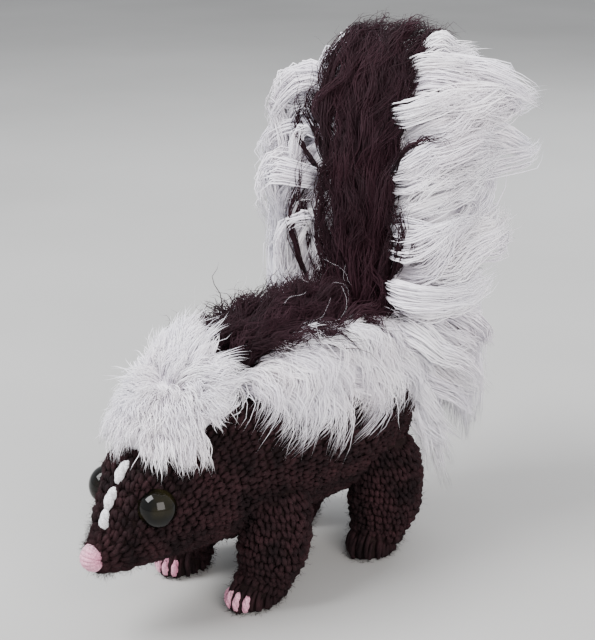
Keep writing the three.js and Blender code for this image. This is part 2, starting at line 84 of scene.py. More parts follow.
# How felted yarn lies on the unwrap, and the marks that the hair's finish reads on it; FELT_ALONG puts pads and
# cores part way along the hair's painted root shade
FELT_RIM = 0.02
FELT_SPAN = 0.96
FELT_ALONG = 0.3
FELT_TINT = 0.6
FELT_LEAST = 1e-6

# Points of a lying lock's guide, and how soon it rises to its middle height
GUIDE_POINTS = 5
GUIDE_RISE = 0.7

# Share of half a turn from one lock of a whorl to the next
GOLDEN_SHARE = 3 - math.sqrt(5)

WHITE = (1.0, 1.0, 1.0)
BLACK = (0.0, 0.0, 0.0)


class Flank(Enum):
    """The two sides of the toy."""

    LEFT = 1
    RIGHT = -1

    def turn(self, angle: float) -> float:
        """Returns an angle of the left side as it is on this side."""
        return angle if self is Flank.LEFT else 180.0 - angle


def unit(vectors: np.ndarray) -> np.ndarray:
    """Returns vectors along the last axis with length one."""
    return vectors / np.maximum(np.linalg.norm(vectors, axis=-1, keepdims=True), TINY)


def square_to(vectors: np.ndarray, along: np.ndarray) -> np.ndarray:
    """Returns the part of vectors at right angles to the directions along, with length one."""
    return unit(vectors - (vectors * along).sum(-1, keepdims=True) * along)


def toy_shift() -> np.ndarray:
    """Returns the move from the toy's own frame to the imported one, in millimetres."""
    low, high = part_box("nose")
    return np.array([(low.x + high.x) / 2 / MM, low.y / MM - NOSE_FRONT_Y, 0.0])


SHIFT = toy_shift()


class SmoothPath:
    """A centripetal spline through points, each span taking an equal share of 0..1."""

    def __init__(self, points: np.ndarray) -> None:
        """Keeps the points, with one more beyond each end.

        Args:
            points: Array of shape (count, 3).
        """
        before = 2 * points[0] - points[1]
        beyond = 2 * points[-1] - points[-2]
        self.points = np.vstack([before, points, beyond])
        self.spans = len(points) - 1

    def at(self, t: np.ndarray) -> np.ndarray:
        """Finds points on the path.

        Args:
            t: Places from 0 to 1, in any shape.

        Returns:
            Points, with one more axis than t.
        """
        place = np.clip(t, 0, 1) * self.spans
        span = np.minimum(place.astype(int), self.spans - 1)
        s = (place - span)[..., None]
        p = [self.points[span + i] for i in range(4)]
        gaps = [np.linalg.norm(p[i + 1] - p[i], axis=-1, keepdims=True) for i in range(3)]
        d = [np.maximum(gap**0.5, KNOT_GAP) for gap in gaps]
        start = ((p[1] - p[0]) / d[0] - (p[2] - p[0]) / (d[0] + d[1]) + (p[2] - p[1]) / d[1]) * d[1]
        end = ((p[2] - p[1]) / d[1] - (p[3] - p[1]) / (d[1] + d[2]) + (p[3] - p[2]) / d[2]) * d[1]
        square = 3 * (p[2] - p[1]) - 2 * start - end
        cube = 2 * (p[1] - p[2]) + start + end
        return p[1] + s * (start + s * (square + s * cube))

    def direction(self, t: np.ndarray) -> np.ndarray:
        """Returns the unit direction of the path at t."""
        return unit(self.at(np.minimum(t + SLOPE_STEP, 1)) - self.at(np.maximum(t - SLOPE_STEP, 0)))


class Loft:
    """A rounded tube through stations, the same surface as the toy's solids."""

    def __init__(self, stations: list[Row], roundness: float, swells: tuple[Row, ...] = ()) -> None:
        """Makes the middle line and the section sizes.

        Args:
            stations: Rows of x, y, z, half size along X and half size across.
            roundness: How bluntly the two ends close.
            swells: Soft bumps, each as t, span in t, degrees, span in degrees and rise.
        """
        self.swells = swells
        rows = np.array(stations, float)
        self.path = SmoothPath(rows[:, :3])
        self.size = SmoothPath(np.column_stack([rows[:, 3:5], np.zeros(len(rows))]))
        self.roundness = roundness

    def point(self, t: np.ndarray, angle: np.ndarray, out: np.ndarray | float = 0.0) -> np.ndarray:
        """Finds points on the surface or off it.

        Args:
            t: Places from end to end, 0 to 1.
            angle: Degrees round the section, from +X.
            out: How far to move out along the section.

        Returns:
            Points, with one more axis than t and angle.
        """
        t, angle, out = np.broadcast_arrays(np.asarray(t, float), angle, out)
        for middle, span, middle_angle, span_angle, rise in self.swells:
            off = ((angle - middle_angle + 180) % 360 - 180) / span_angle
            out = out + rise * np.exp(-(((t - middle) / span) ** 2) - off**2)
        centre = self.path.at(t)
        along = self.path.direction(t)
        across = unit(np.cross(SIDE, along))
        size = self.size.at(t)
        ends = np.abs(2 * t - 1) ** self.roundness
        closing = np.sqrt(np.clip(1 - ends, 0, None))
        turn = np.radians(angle)
        wide = (size[..., 0] + out) * closing * np.cos(turn)
        high = (size[..., 1] + out) * closing * np.sin(turn)
        push = out * ends * np.sign(2 * t - 1)
        return centre + wide[..., None] * SIDE + high[..., None] * across + push[..., None] * along

    def normal(self, t: np.ndarray, angle: np.ndarray) -> np.ndarray:
        """Finds the way out of the surface.

        Args:
            t: Places from end to end, 0 to 1.
            angle: Degrees round the section.

        Returns:
            Unit vectors, with one more axis than t and angle.
        """
        t, angle = np.broadcast_arrays(np.asarray(t, float), angle)
        along = self.point(t + SLOPE_STEP, angle) - self.point(t - SLOPE_STEP, angle)
        around = self.point(t, angle + 1) - self.point(t, angle - 1)
        normal = unit(np.cross(around, along))
        outward = self.point(t, angle) - self.path.at(t)
        flip = np.where((normal * outward).sum(-1, keepdims=True) < 0, -1.0, 1.0)
        return normal * flip

    def grid(self, around: int, along: int, out: float = 0.0) -> Skin:
        """Makes the closed surface.

        Args:
            around: Points round each section.
            along: Steps from end to end.
            out: How far the surface lies outside the loft.

        Returns:
            Points and triangles.
        """
        t = np.linspace(0, 1, along + 1)[:, None]
        angle = (np.arange(around) * 360 / around)[None, :]
        rings = self.point(t[1:-1], angle, out)
        ends = self.point(np.array([0.0, 1.0]), 0.0, out)
        return closed_rings(rings[None], ends[:1], ends[1:])


def closed_rings(rings: np.ndarray, starts: np.ndarray, ends: np.ndarray) -> Skin:
    """Joins rings of points into closed skins, each with a point at both ends.

    Args:
        rings: Array of shape (skins, rings, sides, 3).
        starts: One point before the rings of each skin.
        ends: One point beyond the rings of each skin.

    Returns:
        Points and triangles of all skins together.
    """
    count, steps, sides, _ = rings.shape
    walls = rings.reshape(count, steps * sides, 3)
    points = np.concatenate([starts[:, None], walls, ends[:, None]], axis=1)
    corner = np.arange(sides)
    after = (corner + 1) % sides
    rows = 1 + np.arange(steps - 1)[:, None] * sides
    low, low_next = rows + corner, rows + after
    high, high_next = low + sides, low_next + sides
    lower = np.stack([low, low_next, high_next], -1).reshape(-1, 3)
    upper = np.stack([low, high_next, high], -1).reshape(-1, 3)
    last = 1 + (steps - 1) * sides
    root = np.stack([np.zeros(sides, int), 1 + after, 1 + corner], -1)
    close = np.stack([last + corner, last + after, np.full(sides, last + sides)], -1)
    pattern = np.concatenate([root, lower, upper, close])
    corners = (points[0] - points[0].mean(0))[pattern]
    if (np.cross(corners[:, 0], corners[:, 1]) * corners[:, 2]).sum() < 0:
        pattern = pattern[:, ::-1]
    offset = np.arange(count)[:, None, None] * points.shape[1]
    return points.reshape(-1, 3), (pattern[None] + offset).reshape(-1, 3)


def tubes(lines: np.ndarray, wide: np.ndarray, radius: np.ndarray, sides: int, flat: float = 1.0) -> Skin:
    """Makes closed tubes along lines, pointed at both ends.

    Args:
        lines: Array of shape (tubes, points, 3).
        wide: One vector for each tube, the way in which it is widest.
        radius: Half width at each point of each tube.
        sides: Corners of the section.
        flat: Thickness as a share of the width.

    Returns:
        Points and triangles of all tubes together.
    """
    along = unit(np.gradient(lines, axis=1))
    across = square_to(wide[:, None], along)
    normal = np.cross(along, across)
    turn = np.arange(sides) * 2 * math.pi / sides
    inner = slice(1, -1)
    size = radius[:, inner, None, None]
    sideways = np.cos(turn)[:, None] * across[:, inner, None]
    upwards = flat * np.sin(turn)[:, None] * normal[:, inner, None]
    return closed_rings(lines[:, inner, None] + size * (sideways + upwards), lines[:, 0], lines[:, -1])


@dataclass
class Shape:
    """Points, triangles and optional marks of one piece, in millimetres in the toy's own frame."""

    points: np.ndarray
    triangles: np.ndarray
    uv: np.ndarray | None = None
    marks: dict[str, np.ndarray] = field(default_factory=dict)

    @staticmethod
    def joined(shapes: list["Shape"]) -> "Shape":
        """Joins shapes into one.

        Args:
            shapes: Shapes that all have the same marks.

        Returns:
            One shape with every point and triangle.
        """
        starts = np.cumsum([0] + [len(shape.points) for shape in shapes[:-1]])
        triangles = np.concatenate([shape.triangles + start for shape, start in zip(shapes, starts)])
        uv = None if shapes[0].uv is None else np.concatenate([shape.uv for shape in shapes])
        marks = {name: np.concatenate([shape.marks[name] for shape in shapes]) for name in shapes[0].marks}
        return Shape(np.concatenate([shape.points for shape in shapes]), triangles, uv, marks)

    def mesh(self, name: str) -> bpy.types.Mesh:
        """Makes the mesh with its unwrap and its marks.

        Args:
            name: Name of the mesh.

        Returns:
            The mesh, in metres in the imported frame.
        """
        mesh = bpy.data.meshes.new(name)
        mesh.vertices.add(len(self.points))
        mesh.vertices.foreach_set("co", ((self.points + SHIFT) * MM).astype(np.float32).ravel())
        mesh.loops.add(self.triangles.size)
        mesh.polygons.add(len(self.triangles))
        mesh.polygons.foreach_set("loop_start", np.arange(0, self.triangles.size, 3, dtype=np.int32))
        mesh.polygons.foreach_set("vertices", self.triangles.astype(np.int32).ravel())
        mesh.update(calc_edges=True)
        mesh.validate()
        mesh.shade_smooth()
        if self.uv is not None:
            layer = mesh.uv_layers.new(name="OFBake")
            layer.uv.foreach_set("vector", self.uv[self.triangles.ravel()].astype(np.float32).ravel())
        for mark, values in self.marks.items():
            attribute = mesh.attributes.new(mark, "FLOAT", "POINT")
            attribute.data.foreach_set("value", values.astype(np.float32))
        return mesh

    def piece(
        self, name: str, material: bpy.types.Material, slot: str, nodes: tuple[str, ...] = ()
    ) -> bpy.types.Object:
        """Makes the Blender object, rides it on the body and hides the solids that it takes the place of.

        Args:
            name: Name of the piece.
            material: Its finish.
            slot: The material slot of that finish; not used.
            nodes: Solids that the piece takes the place of.

        Returns:
            The new object.
        """
        mesh = self.mesh(name)
        mesh.materials.append(material)
        piece = bpy.data.objects.new(name, mesh)
        bpy.context.scene.collection.objects.link(piece)
        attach(piece, BODY_NAME)
        if nodes:
            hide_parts(*nodes)
        LOG.info("%s: %d triangles", name, len(self.triangles))
        return piece


class MixPlace(Enum):
    """Places of the sockets of a colour mix."""

    SHARE = 0
    FIRST = 6
    SECOND = 7
    RESULT = 2


@dataclass(frozen=True)
class Gloss:
    """How a surface shines, each value from 0 to 1."""

    roughness: float
    sheen: float = 0.0
    specular: float = 0.16
    sheen_roughness: float = 0.5


class Nodes:
    """A short way to wire up a material's nodes."""

    def __init__(self, name: str) -> None:
        """Starts a material with one surface shader.

        Args:
            name: Name of the material.
        """
        self.material = bpy.data.materials.new(name)
        self.material.use_nodes = True
        self.tree = self.material.node_tree
        self.shader = self.tree.nodes["Principled BSDF"]

    def add(self, kind: str, inputs: dict[str, object] | None = None, **settings: object) -> bpy.types.Node:
        """Adds a node.

        Args:
            kind: Blender's name of the node, without the word ShaderNode.
            inputs: Values or sockets for its inputs.
            settings: Properties of the node.

        Returns:
            The new node.
        """
        node = self.tree.nodes.new("ShaderNode" + kind)
        for name, value in settings.items():
            setattr(node, name, value)
        for name, value in (inputs or {}).items():
            self.feed(node, name, value)
        return node

    def feed(self, node: bpy.types.Node, name: str | int, value: object) -> None:
        """Sets an input of a node, or links a socket to it.

        Args:
            node: Node to change.
            name: Name or place of the input.
            value: A plain value or another node's socket.
        """
        if isinstance(value, Socket):
            self.tree.links.new(value, node.inputs[name])
        else:
            node.inputs[name].default_value = value

    def noise(self, scale: float, detail: float = 3.0) -> Socket:
        """Makes a soft random value from 0 to 1 that follows the place in the object.

        Args:
            scale: Features in a metre.
            detail: Finer layers.

        Returns:
            The value's socket.
        """
        place = self.add("TexCoord").outputs["Object"]
        return self.add("TexNoise", {"Vector": place, "Scale": scale, "Detail": detail}).outputs["Fac"]

    def ramp(self, value: Socket, first: Colour, last: Colour, places: Span) -> Socket:
        """Makes a colour that follows a value.

        Args:
            value: Socket that drives the ramp.
            first: Colour up to the first place.
            last: Colour from the last place on.
            places: The two places, from 0 to 1.

        Returns:
            The colour's socket.
        """
        node = self.add("ValToRGB", {"Fac": value})
        for element, place, colour in zip(node.color_ramp.elements, places, (first, last)):
            element.position = place
            element.color = (*colour, 1.0)
        return node.outputs["Color"]

    def blend(self, share: object, first: object, second: object, mode: str = "MIX") -> Socket:
        """Mixes two colours by a share.

        Args:
            share: Value or socket from 0 to 1.
            first: Colour or socket at share 0.
            second: Colour or socket at share 1.
            mode: Blender's name of the way to mix.

        Returns:
            The mixed colour's socket.
        """
        node = self.add("Mix", data_type="RGBA", blend_type=mode)
        self.feed(node, MixPlace.SHARE.value, share)
        for place, colour in ((MixPlace.FIRST, first), (MixPlace.SECOND, second)):
            self.feed(node, place.value, colour if isinstance(colour, Socket) else (*colour, 1.0))
        return node.outputs[MixPlace.RESULT.value]

    def mark(self, name: str) -> Socket:
        """Returns a value that the mesh carries at each point."""
        return self.add("Attribute", attribute_name=name).outputs["Fac"]

    def bump(self, height: Socket, strength: float, distance: float) -> None:
        """Raises the surface in light by a height.

        Args:
            height: Socket of the height.
            strength: Share of the effect.
            distance: Height in metres at value 1.
        """
        inputs = {"Height": height, "Strength": strength, "Distance": distance}
        self.feed(self.shader, "Normal", self.add("Bump", inputs).outputs["Normal"])

    def finish(self, colour: Socket, gloss: Gloss, sheen_tint: Colour = WHITE) -> bpy.types.Material:
        """Sets the main values of the surface.

        Args:
            colour: Socket of the base colour.
            gloss: How it shines.
            sheen_tint: Colour of the light that loose fibres catch.

        Returns:
            The finished material.
        """
        self.feed(self.shader, "Base Color", colour)
        self.feed(self.shader, "Roughness", gloss.roughness)
        self.feed(self.shader, "Sheen Weight", gloss.sheen)
        self.feed(self.shader, "Sheen Roughness", gloss.sheen_roughness)
        self.feed(self.shader, "Sheen Tint", (*sheen_tint, 1.0))
        self.feed(self.shader, "Specular IOR Level", gloss.specular)
        return self.material


@dataclass(frozen=True)
class YarnFinish:
    """Spun yarn: a deep and a light tone that wander over the piece, with fine fibres in relief."""

    name: str
    slot: str
    deep: Colour
    light: Colour
    patch: float = 90.0
    patch_detail: float = 4.0
    patch_places: Span = (0.35, 0.7)
    fibre: float = 1600.0
    fibre_detail: float = 2.0
    fibre_places: Span = (0.42, 0.62)
    fibre_shade: Colour = (0.62, 0.62, 0.62)
    relief: float = 0.0004
    relief_share: float = 0.6
    gloss: Gloss = Gloss(roughness=0.88, sheen=0.25)

    def build(self) -> bpy.types.Material:
        """Makes the material.

        Returns:
            The finished material.
        """
        nodes = Nodes(self.name)
        patches = nodes.noise(self.patch, self.patch_detail)
        tone = nodes.ramp(patches, self.deep, self.light, self.patch_places)
        fibres = nodes.noise(self.fibre, self.fibre_detail)
        speck = nodes.ramp(fibres, self.fibre_shade, WHITE, self.fibre_places)
        colour = nodes.blend(1.0, tone, speck, "MULTIPLY")
        nodes.bump(nodes.noise(self.fibre, self.fibre_detail), self.relief_share, self.relief)
        return nodes.finish(colour, self.gloss, self.light)


@dataclass(frozen=True)
class HairFinish:
    """Brushed yarn hair: painted shade that darkens it from tip to root, a tint for each lock and a wander over
    the coat.
    """

    name: str
    slot: str
    # root is the hair's colour darkened by painted shade, for deep in the coat where the locks shade each
    # other; tip is its own colour
    root: Colour
    tip: Colour
    shade: Colour
    warm: Colour
    warm_share: float = 0.6
    root_shade_places: Span = (0.0, 0.45)
    patch: float = 28.0
    patch_places: Span = (0.4, 0.65)
    tint_places: Span = (0.0, 1.0)
    gloss: Gloss = Gloss(roughness=0.7, sheen=0.15)

    def build(self) -> bpy.types.Material:
        """Makes the material.

        Returns:
            The finished material.
        """
        nodes = Nodes(self.name)
        # Painted shade: the darkened root colour at along 0 gives way to the tip colour further up the strand
        length = nodes.ramp(nodes.mark("along"), self.root, self.tip, self.root_shade_places)
        wander = nodes.ramp(nodes.noise(self.patch), BLACK, WHITE, self.patch_places)
        warmed = nodes.blend(self.warm_share, length, self.warm, "MULTIPLY")
        colour = nodes.blend(wander, length, warmed)
        tint = nodes.ramp(nodes.mark("tint"), self.shade, WHITE, self.tint_places)
        colour = nodes.blend(1.0, colour, tint, "MULTIPLY")
        return nodes.finish(colour, self.gloss, self.tip)


@dataclass(frozen=True)
class EyeFinish:
    """Polished dark plastic with faint olive-brown patches deep in the dome, partly the plastic's own tint and
    partly painted reflection of the brown yarn round it.
    """

    name: str
    slot: str
    dark: Colour
    olive_and_reflection: Colour
    patch: float = 110.0
    patch_detail: float = 2.0
    patch_places: Span = (0.4, 0.75)
    gloss: Gloss = Gloss(roughness=0.07, specular=0.22)

    def build(self) -> bpy.types.Material:
        """Makes the material.

        Returns:
            The finished material.
        """
        nodes = Nodes(self.name)
        # Painted reflection: the olive-brown patches stand partly for the plastic's own tint and partly for the
        # warm reflections that it would show
        olive_and_reflection_patches = nodes.noise(self.patch, self.patch_detail)
        colour = nodes.ramp(olive_and_reflection_patches, self.dark, self.olive_and_reflection, self.patch_places)
        return nodes.finish(colour, self.gloss)


@dataclass(frozen=True)
class FloorFinish:
    """A pale matt studio floor."""

    name: str
    pale: Colour
    paler: Colour
    patch: float = 3.0
    patch_places: Span = (0.3, 0.7)
    gloss: Gloss = Gloss(roughness=0.85)

    def build(self) -> bpy.types.Material:
        """Makes the material.

        Returns:
            The finished material.
        """
        nodes = Nodes(self.name)
        colour = nodes.ramp(nodes.noise(self.patch), self.pale, self.paler, self.patch_places)
        return nodes.finish(colour, self.gloss)


DARK_CROCHET = YarnFinish(
    "dark_crochet_yarn", "dark_crochet",
    deep=(0.007, 0.0026, 0.0035), light=(0.032, 0.0118, 0.0145), gloss=Gloss(roughness=0.88, sheen=0.12),
)
# Painted shade: the skin that shows between the stitches is the same dark yarn, made darker for the shade in
# the gaps
SHADED_GAP_CROCHET = YarnFinish(
    "shaded_gap_crochet", "dark_crochet", deep=(0.007, 0.003, 0.003), light=(0.018, 0.008, 0.008)
)
WHITE_STITCH = YarnFinish(
    "white_stitch_yarn", "white_yarn", deep=(0.7, 0.7, 0.74), light=(0.9, 0.9, 0.92), patch=60.0
)
PINK_STITCH = YarnFinish(
    "pink_stitch_yarn", "pink_yarn", deep=(0.62, 0.24, 0.36), light=(0.83, 0.5, 0.6), patch=60.0
)
# The root colours of both hair finishes are painted shade for the hair deep in the coat
WHITE_HAIR = HairFinish(
    "white_brushed_hair", "white_brushed_yarn",
    root=(0.78, 0.75, 0.81), tip=(0.96, 0.945, 0.985), shade=(0.91, 0.9, 0.94), warm=(0.99, 0.95, 0.94),
)
DARK_HAIR = HairFinish(
    "dark_brushed_hair", "dark_brushed_yarn",
    root=(0.006, 0.0023, 0.004), tip=(0.029, 0.0105, 0.0165), shade=(0.45, 0.45, 0.45), warm=(1.0, 0.75, 0.8),
    gloss=Gloss(roughness=0.7, sheen=0.08),
)
EYE_PLASTIC = EyeFinish(
    "polished_eye", "eye_plastic", dark=(0.0015, 0.0015, 0.0012), olive_and_reflection=(0.012, 0.01, 0.004)
)
PALE_FLOOR = FloorFinish("pale_floor", pale=(0.36, 0.355, 0.345), paler=(0.4, 0.395, 0.385))


@dataclass(frozen=True)
class Brush:
    """How the strands of a lock are spun: counts, half width, and how they spread, wave and fray."""

    strands: int
    points: int
    width: float
    spread: float
    thick: float
    gather: float
    wave: float
    waves: float
    frizz: float
    stray: float = 0.06
    ragged: float = 0.35
    least_strands: int = 4
    ragged_power: float = 1.5
    loose_reach: float = 2.2
    root_fan: float = 0.25
    fan_open: float = 0.3
    fan_power: float = 0.7
    phase_noise: float = 0.9
    roll_share: float = 0.7
    roll_waves: float = 0.8
    roll_phase: float = 1.7
    frizz_power: float = 1.5
    belly_place: float = 0.55
    belly_power: float = 0.7
    widths: Span = (0.75, 1.25)
    sides: int = 3
    flat: float = 0.7
    floor: float = 0.5

    def lock(self, guide: np.ndarray, side: np.ndarray, spot: Spot, scale: float, random: Random) -> Shape:
        """Makes one lock of strands along a guide.

        Args:
            guide: Points from root to tip.
            side: The way in which the lock is widest.
            spot: The root's place on the coat's unwrap, each 0 to 1.
            scale: Size of the lock beside the others.
            random: The coat's random numbers.

        Returns:
            The lock's strands.
        """
        count = max(self.least_strands, int(self.strands * scale))
        path = SmoothPath(guide)
        steps = np.linspace(0, 1, self.points)
        s = steps[None] * (1 - self.ragged * random.random((count, 1)) ** self.ragged_power)
        along = path.direction(s)
        across = square_to(side, along)
        normal = np.cross(along, across)
        beside, above = random.uniform(-1, 1, (2, count, 1))
        loose = np.where(random.random((count, 1)) < self.stray, self.loose_reach, 1.0)
        opening = self.root_fan + (1 - self.root_fan) * np.minimum(s / self.fan_open, 1)
        fan = (1 - s) ** self.fan_power * (1 - self.gather) * opening + self.gather * loose
        phase = random.uniform(0, 2 * math.pi) + random.normal(0, self.phase_noise, (count, 1))
        turns = 2 * math.pi * self.waves
        sway = self.wave * s * np.sin(turns * s + phase)
        roll = self.wave * s * np.sin(turns * self.roll_waves * s + phase * self.roll_phase)
        wide = beside * fan * self.spread * scale + sway
        high = above * fan * self.thick * scale + self.roll_share * roll
        fray = random.normal(0, self.frizz, (count, 1, 3)) * (s**self.frizz_power)[..., None]
        fray = fray * loose[..., None]
        lines = path.at(s) + wide[..., None] * across + high[..., None] * normal + fray
        lines[..., 2] = np.maximum(lines[..., 2], self.floor)
        belly = np.sin(math.pi * steps**self.belly_place)[None] ** self.belly_power
        radius = self.width * belly * random.uniform(*self.widths, (count, 1))
        skin = tubes(lines, across[:, 0], radius, self.sides, self.flat)
        return self.marked(skin, steps, spot, count, random)

    def marked(self, skin: Skin, steps: np.ndarray, spot: Spot, count: int, random: Random) -> Shape:
        """Adds the unwrap and the marks that the finish reads.

        Args:
            skin: Points and triangles of the strands.
            steps: Places along a strand.
            spot: The lock root's place on the unwrap.
            count: How many strands there are.
            random: The coat's random numbers.

        Returns:
            The marked shape.
        """
        # along runs from 0 at a strand's root to 1 at its tip; the hair finish paints shade at its low values
        along = np.concatenate([[0.0], np.repeat(steps[1:-1], self.sides), [1.0]])
        corners = np.tile(np.arange(self.sides) / self.sides, len(steps) - 2)
        around = np.concatenate([[0.0], corners, [0.5]])
        near = np.array(spot) + random.normal(0, 2 * UV_PATCH, (count, 1, 2))
        patch = near + np.stack([around, along], -1)[None] * UV_PATCH
        uv = np.clip(patch, UV_RIM, 1 - UV_RIM).reshape(-1, 2)
        tint = np.full(count * len(along), random.random())
        return Shape(*skin, uv, {"along": np.tile(along, count), "tint": tint})


@dataclass(frozen=True)
class Pad:
    """The low pad of felted yarn that a coat grows from: its middle, half its size and its height."""

    t: float
    span_t: float
    angle: float
    span_angle: float
    depth: float
    sink: float = 3.0
    square: float = 0.75
    around: int = 40
    along: int = 20

    def shape(self, loft: Loft, flank: Flank = Flank.LEFT) -> Shape:
        """Makes the pad on a loft.

        Args:
            loft: Loft that it lies on.
            flank: The side that its angle is for.

        Returns:
            The closed pad.
        """
        angle = flank.turn(self.angle)
        v = (np.arange(1, self.along) / self.along)[:, None]
        turn = np.arange(self.around)[None] * 2 * math.pi / self.around
        rise = np.cos(v * math.pi) + 0 * turn
        out = np.where(rise > 0, rise * self.depth, rise * self.sink)
        ring_t = self.t + self.filled(np.sin(v * math.pi) * np.cos(turn)) * self.span_t
        ring_angle = angle + self.filled(np.sin(v * math.pi) * np.sin(turn)) * self.span_angle
        rings = loft.point(ring_t, ring_angle, out)
        ends = loft.point(np.array([self.t, self.t]), angle, np.array([self.depth, -self.sink]))
        return felted(*closed_rings(rings[None], ends[:1], ends[1:]))

    def filled(self, share: np.ndarray) -> np.ndarray:
        """Returns shares from -1 to 1 moved out, so that the pad's corners fill."""
        return np.sign(share) * np.abs(share) ** self.square


def felted(points: np.ndarray, triangles: np.ndarray) -> Shape:
    """Marks a pad or core so that the hair's finish suits it, with part of the hair's painted root shade.

    Args:
        points: Points of the pad.
        triangles: Its triangles.

    Returns:
        The marked shape.
    """
    span = np.ptp(points, axis=0) + FELT_LEAST
    uv = FELT_RIM + FELT_SPAN * ((points - points.min(0)) / span)[:, 1:]
    marks = {"along": np.full(len(points), FELT_ALONG), "tint": np.full(len(points), FELT_TINT)}
    return Shape(points, triangles, uv, marks)


# Stations of the body and the tail are y, z and the two half sizes, and a leg's rows start with x
BODY_STATIONS = [
    (-130, 43, 8, 9), (-126, 43.5, 9, 9.4), (-117, 46, 13.5, 13.4), (-107.5, 51.5, 18.5, 22),
    (-95, 58.5, 23.5, 30), (-78, 66, 29.5, 37), (-52, 73, 36, 43.5), (-20, 77.5, 40, 46.5),
    (15, 79, 41, 46.5), (45, 80, 38, 42), (64, 80.5, 31, 34), (80, 81, 19, 22),
]
TAIL_STATIONS = [
    (60, 98, 14, 14), (60, 125, 17, 16), (57, 150, 17, 16), (56, 180, 17, 15), (59, 210, 15, 14),
    (67, 236, 13, 12), (82, 254, 9, 9),
]
FRONT_LEG = [
    (24, -36, 64, 14, 15), (28, -39, 44, 16.5, 18), (29.5, -43, 27, 16, 17.5), (28.5, -47, 14, 12, 13.5),
    (26.5, -52, 5, 10.2, 14.5), (26.5, -53, -5, 9, 13),
]
HIND_LEG = [
    (25, 40, 66, 14, 17), (29, 40, 46, 17.5, 20), (30.5, 38, 29, 17.5, 19.5), (30, 34, 14, 13, 14.5),
    (29, 30, 5, 10.5, 14), (29, 30, -5, 9.3, 13),
]


def mirrored(stations: list[Row]) -> list[Row]:
    """Returns a leg's stations on the other side of the toy."""
    return [(-x, *rest) for x, *rest in stations]


BROWS = tuple((0.352, 0.03, angle, 15, 3.4) for angle in (60, 120))
BODY = Loft([(0, *row) for row in BODY_STATIONS], roundness=9, swells=BROWS)
TAIL = Loft([(0, *row) for row in TAIL_STATIONS], roundness=10)
LEGS = {
    "leg_front_left": Loft(FRONT_LEG, roundness=12),
    "leg_front_right": Loft(mirrored(FRONT_LEG), roundness=12),
    "leg_hind_left": Loft(HIND_LEG, roundness=12),
    "leg_hind_right": Loft(mirrored(HIND_LEG), roundness=12),
}


@dataclass
class Fuzz:
    """The short loose fibres that stand off the stitches."""

    count: int = 11500
    shares: Row = (0.56, 0.11, 0.11, 0.11, 0.11)
    places: Span = (0.03, 0.95)
    root_height: float = 0.4
    length: float = 3.9
    lengths: Span = (0.5, 1.4)
    upright: float = 0.55
    lean: float = 0.8
    curl: float = 0.35
    curl_turn: float = 1.3
    radius: float = 0.06
    points: int = 4
    sides: int = 3
    floor: float = 0.4

    def build(self, random: Random) -> None:
        """Makes the fibres of the body and the legs.

        Args:
            random: The skin's random numbers.
        """
        lofts = [BODY, *LEGS.values()]
        counts = [int(self.count * share) for share in self.shares]
        parts = [self.fibres(loft, count, random) for loft, count in zip(lofts, counts)]
        Shape.joined(parts).piece("crochet_fuzz", DARK_CROCHET.build(), DARK_CROCHET.slot)

    def fibres(self, loft: Loft, count: int, random: Random) -> Shape:
        """Makes the fibres of one loft.

        Args:
            loft: Loft that carries them.
            count: How many there are.
            random: The skin's random numbers.

        Returns:
            All fibres together.
        """
        t = random.uniform(*self.places, count)
        angle = random.uniform(0, 360, count)
        root = loft.point(t, angle, self.root_height)
        normal = loft.normal(t, angle)
        lean = unit(random.normal(0, 1, (count, 3)))
        length = self.length * random.uniform(*self.lengths, (count, 1))
        s = np.linspace(0, 1, self.points)[None, :, None]
        bow = unit(random.normal(0, 1, (count, 3)))[:, None] * np.sin(s * math.pi * self.curl_turn)
        bow = bow * self.curl
        heading = unit(normal * self.upright + lean * self.lean)[:, None]
        lines = root[:, None] + (heading * s + bow * s) * length[:, None]
        lines[..., 2] = np.maximum(lines[..., 2], self.floor)
        radius = np.full((count, self.points), self.radius)
        return Shape(*tubes(lines, lean[:, [1, 2, 0]], radius, self.sides))


